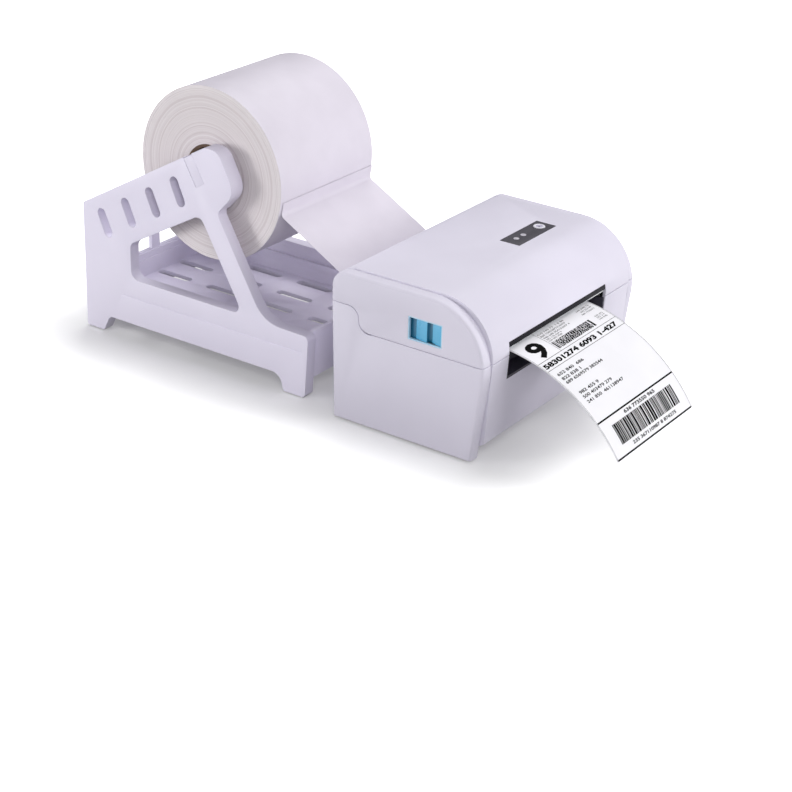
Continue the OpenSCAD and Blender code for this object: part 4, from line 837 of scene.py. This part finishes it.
# The ends are drawn as rings of a few turns, which stand out most in the loose band at the rim
ring_step, ring_gap, rim_band = 0.6 * mm, 0.04 * mm, 4.0 * mm
face_step, tight_share = 0.22 * mm, 0.35
edge_in, edge_drop = 0.15 * mm, 0.02 * mm
random.seed(41)
ends = []
count = int((roll_outer - roll_inner) / ring_step)
radii = [roll_inner + (roll_outer - roll_inner) * k / count for k in range(count + 1)]
for end, sign in ((low.x, 1), (high.x, -1)):
    line = []
    for r0, r1 in zip(radii, radii[1:]):
        slump = face_step * random.random() * (tight_share if r1 < roll_outer - rim_band else 1.0)
        line += [(end + sign * slump, r0), (end + sign * slump, r1 - ring_gap)]
    ends.append(line)
near, far = ends
outline = ([(near[0][0], roll_inner)] + near
           + [(near[-1][0], roll_outer - edge_drop), (near[-1][0] + edge_in, roll_outer),
              (far[-1][0] - edge_in, roll_outer)] + far[::-1])
bm = turned_piece([(x, roll_mid.y, roll_mid.z + r) for x, r in outline],
                  roll_mid, (1, 0, 0), steps=128, closed=True)

# Wound paper: rings of slightly different tone, painted shade in a few open turns, and a paler band at the
# rim
wound, given, made = pattern_group("wound_paper", {"Turns per metre": 1500.0, "Outer radius": 62.2 * mm,
                                                   "Rim band": 4.5 * mm})
ring_wobble, open_below, open_shade_depth, band_lift = 1.6 * mm, 0.36, 0.09, 0.1
parts = wound.nodes.new("ShaderNodeSeparateXYZ")
wound.links.new(given.outputs["Vector"], parts.inputs["Vector"])
from_axis_y = worked(wound, "SUBTRACT", parts.outputs["Y"], roll_mid.y)
from_axis_z = worked(wound, "SUBTRACT", parts.outputs["Z"], roll_mid.z)
squares = worked(wound, "ADD", worked(wound, "MULTIPLY", from_axis_y, from_axis_y),
                 worked(wound, "MULTIPLY", from_axis_z, from_axis_z))
wobble = worked(wound, "MULTIPLY", noise(wound, given.outputs["Vector"], 24, detail=2), ring_wobble)
radius = worked(wound, "ADD", worked(wound, "SQRT", squares), wobble)


def rings_of(tree, radius, scale, detail):
    """Noise that changes with the radius only."""
    lay = tree.nodes.new("ShaderNodeTexNoise")
    lay.noise_dimensions = "1D"
    lay.inputs["Detail"].default_value = detail
    feed(tree, lay.inputs["Scale"], scale)
    tree.links.new(radius, lay.inputs["W"])
    return lay.outputs["Fac"]


fine_rings = rings_of(wound, radius, given.outputs["Turns per metre"], detail=3)
wide_rings = rings_of(wound, radius, 480, detail=2)
band_from = worked(wound, "SUBTRACT", given.outputs["Outer radius"], given.outputs["Rim band"])
in_band = worked(wound, "GREATER_THAN", radius, band_from)
# Turns where the wide rings run low are darkened, painted shade in their open gaps
shaded_open_turns = worked(wound, "LESS_THAN", wide_rings, open_below)
ring_tone = worked(wound, "ADD", worked(wound, "MULTIPLY", fine_rings, 0.7),
                   worked(wound, "MULTIPLY", wide_rings, 0.3))
ring_tone = worked(wound, "SUBTRACT", ring_tone, worked(wound, "MULTIPLY", shaded_open_turns, open_shade_depth))
ring_tone = worked(wound, "ADD", ring_tone, worked(wound, "MULTIPLY", in_band, band_lift))
wound.links.new(ring_tone, made.inputs["Tone"])
wound.links.new(fine_rings, made.inputs["Grain"])
wound.links.new(noise(wound, given.outputs["Vector"], 40, detail=3), made.inputs["Handling"])
wound_paper = surface("wound_labels", wound, srgb(216, 207, 209), srgb(234, 228, 230),
                      rough=(0.6, 0.75), relief=0.05 * mm, specular=0.3)
roll = piece_of(bm, "wound_roll", wound_paper, "roll", sharp=30)
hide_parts("label_roll")

# The outside of the roll shows the coated face of the labels, as the web does
paper_fibre, given, made = pattern_group("paper_fibre", {"Fibre per metre": 700.0})
paper_cloud = noise(paper_fibre, given.outputs["Vector"], 30, detail=3)
paper_grain = noise(paper_fibre, given.outputs["Vector"], given.outputs["Fibre per metre"],
                    detail=5, roughness=0.6)
paper_fibre.links.new(paper_cloud, made.inputs["Tone"])
paper_fibre.links.new(paper_grain, made.inputs["Grain"])
paper_fibre.links.new(noise(paper_fibre, given.outputs["Vector"], 90, detail=3), made.inputs["Handling"])
liner_paper = surface("liner_paper", paper_fibre, srgb(219, 213, 224), srgb(224, 218, 229),
                      rough=(0.5, 0.64), relief=0.02 * mm, specular=0.4)
outer_skin, end_facing = 0.2 * mm, 0.9
roll.data.materials.append(liner_paper)
for face in roll.data.polygons:
    if abs(face.normal.x) < end_facing and (face.center - roll_mid).yz.length > roll_outer - outer_skin:
        face.material_index = 1


# ---- Label web ----
# One layer of liner with its labels runs from the roll through the rear slot and over the guide bar
# to the platen. The coated face is nearly smooth, with the faint fibre of the paper below it.

eased("label_web", 0.05 * mm, liner_paper, segments=1, sharp=60)


# ---- Printed label ----
# The first label hangs from the slot in a curl: white coated paper with black thermal print.
# The print is a shipping layout of rules, digits and bar codes, raised by a few hundredths of a millimetre.

label_paper = surface("label_paper", paper_fibre, srgb(241, 240, 244), srgb(245, 244, 248),
                      rough=(0.5, 0.62), relief=0.015 * mm, specular=0.4)
eased("printed_label", 0.05 * mm, label_paper, segments=1, sharp=60)
thermal_ink = surface("thermal_ink", paper_fibre, srgb(8, 8, 9), srgb(14, 14, 15),
                      rough=(0.8, 0.9), relief=0.005 * mm, specular=0.05)

# The print is laid out flat in millimetres, u to the right from the label's left edge and v down from
# the slot, and then bent onto the curl, an arc about a line under the slot
low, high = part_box("printed_label")
label_left, curl_radius, print_and_shade_height = low.x, 117.15 * mm, 0.04 * mm
curl_y, curl_z, slot_angle = -118.934 * mm, -43.861 * mm, math.radians(8)
random.seed(17)
ink_and_cut_shade = bmesh.new()


def bar(u0, v0, u1, v1):
    """A solid rectangle between two corners."""
    middle = Matrix.Translation(((u0 + u1) / 2, -(v0 + v1) / 2, 0))
    bmesh.ops.create_grid(ink_and_cut_shade, x_segments=1, y_segments=1, size=0.5,
                          matrix=middle @ Matrix.Diagonal((u1 - u0, v1 - v0, 1, 1)))


def bar_row(u0, u1, v0, v1, darks, gaps, least):
    """A row of bars of random widths between u0 and u1, where none starts closer to u1 than least."""
    while u0 < u1 - least:
        dark, gap = random.choice(darks), random.choice(gaps)
        bar(u0, v0, min(u0 + dark, u1), v1)
        u0 += dark + gap


def figures(u0, u1, base, cap, weight=0.0, text=None):
    """A line of figures, stretched to lie between u0 and u1 with its foot at base and its height cap."""
    pitch = 1.12 * cap
    count = max(3, round((u1 - u0) / pitch))
    if text is None:
        text = "".join(" " if k % random.choice((4, 5, 7)) == 3 else random.choice("0123456789")
                       for k in range(count)).strip()
    curve = bpy.data.curves.new("figures", "FONT")
    curve.body = text
    curve.resolution_u = 3
    curve.offset = weight
    holder = bpy.data.objects.new("figures", curve)
    flat = bpy.data.meshes.new_from_object(holder)
    xs = [v.co.x for v in flat.vertices]
    ys = [v.co.y for v in flat.vertices]
    wide, tall = (u1 - u0) / (max(xs) - min(xs)), cap / (max(ys) - min(ys))
    flat.transform(Matrix.Translation((u0, -base, 0)) @ Matrix.Diagonal((wide, tall, 1, 1))
                   @ Matrix.Translation((-min(xs), -min(ys), 0)))
    ink_and_cut_shade.from_mesh(flat)
    bpy.data.objects.remove(holder)
    bpy.data.curves.remove(curve)
    bpy.data.meshes.remove(flat)


def bend_on_label(flat):
    """Cuts a flat sheet of print or painted cut shade into strips and bends it onto the curl, just proud of
    the paper.
    """
    strip, strips = 2.5, range(-1, 42)
    for k in strips:
        bmesh.ops.bisect_plane(flat, geom=flat.verts[:] + flat.edges[:] + flat.faces[:],
                               plane_co=(0, -strip * k, 0), plane_no=(0, 1, 0))
    height = curl_radius + print_and_shade_height
    for v in flat.verts:
        angle = slot_angle - v.co.y * mm / curl_radius
        v.co = (label_left + v.co.x * mm, curl_y - height * math.sin(angle),
                curl_z + height * math.cos(angle))


# Rules: two hairlines over the label's width, an upright one beside the large figure, and two heavy ones
rule_left, rule_right = 0.9, 100.7
bar(rule_left, 20.35, rule_right, 20.65)
bar(rule_left, 28.35, rule_right, 28.65)
bar(29.85, -3, 30.15, 20.5)
bar(rule_left, 74.0, rule_right, 75.1)
bar(rule_left, 100.7, rule_right, 101.8)
# Lines of figures: (u0, u1, base, cap, weight)
for u0, u1, base, cap, weight in (
        (5.0, 37.0, 35.0, 2.3, 0.02), (5.0, 28.0, 39.0, 2.3, 0.02),
        (5.0, 50.5, 42.5, 2.3, 0.02), (7.0, 31.0, 52.8, 2.3, 0.02), (7.0, 43.0, 56.5, 2.3, 0.02),
        (7.0, 53.0, 60.5, 2.3, 0.02), (31.5, 72.0, 78.9, 2.6, 0.03), (24.0, 82.0, 98.5, 2.4, 0.03),
        (31.5, 64.0, 1.3, 1.5, 0.0), (31.5, 62.0, 3.8, 1.5, 0.0), (31.5, 64.0, 6.3, 1.5, 0.0),
        (31.5, 50.0, 8.3, 1.3, 0.0), (31.5, 48.0, 10.2, 1.3, 0.0), (81.0, 97.0, 1.3, 1.3, 0.0),
        (83.0, 97.0, 3.7, 1.3, 0.0), (81.0, 97.0, 6.2, 1.3, 0.0), (87.0, 97.0, 12.7, 1.3, 0.0),
        (87.0, 97.0, 14.7, 1.3, 0.0), (87.0, 97.0, 16.7, 1.3, 0.0)):
    figures(u0, u1, base, cap, weight)
figures(2.5, 95.0, 26.9, 4.3, 0.045, "58301274 6093 1-427")
figures(8.0, 23.5, 19.3, 16.8, 0.035, "9")
# Stacked bar code with a heavy and a light bar at each end, and a plain bar code near the label's foot
heavy, light, row_count, code_top, code_foot = 1.4, 0.7, 8, 11.3, 18.5
row_height = (code_foot - code_top) / row_count
for u, width in ((31.4, heavy), (33.4, light), (77.3, heavy), (78.6, light)):
    bar(u, code_top, u + width, code_foot)
for row in range(row_count):
    bar_row(35.2, 76.5, code_top + row * row_height, code_top + (row + 1) * row_height,
            darks=(0.5, 1.0, 1.5, 2.0), gaps=(0.5, 0.5, 1.0), least=0.3)
bar_row(12.6, 91.8, 80.3, 94.3, darks=(0.7, 1.0, 1.5, 2.2), gaps=(0.45, 0.45, 0.75, 1.05), least=0.6)
bend_on_label(ink_and_cut_shade)
piece_of(ink_and_cut_shade, "label_print", thermal_ink, "printer_base")

# Painted shade of the die cuts along both sides: grey lines at the label's edge, and at the liner's edge
# just outside it
cut_shade_grey = surface("die_cut_edge_shade", paper_fibre, srgb(128, 128, 134), srgb(138, 138, 144),
                   rough=(0.5, 0.62), relief=0.005 * mm)
cut_width, cut_top, cut_foot = 0.25, -4, 101.9
# The same sheet now takes grey lines of painted shade at the die cuts
ink_and_cut_shade = bmesh.new()
for u in (0.0, 0.9, 100.4, 101.3):
    bar(u, cut_top, u + cut_width, cut_foot)
bend_on_label(ink_and_cut_shade)
piece_of(ink_and_cut_shade, "die_cut_shade_lines", cut_shade_grey, "printer_base")
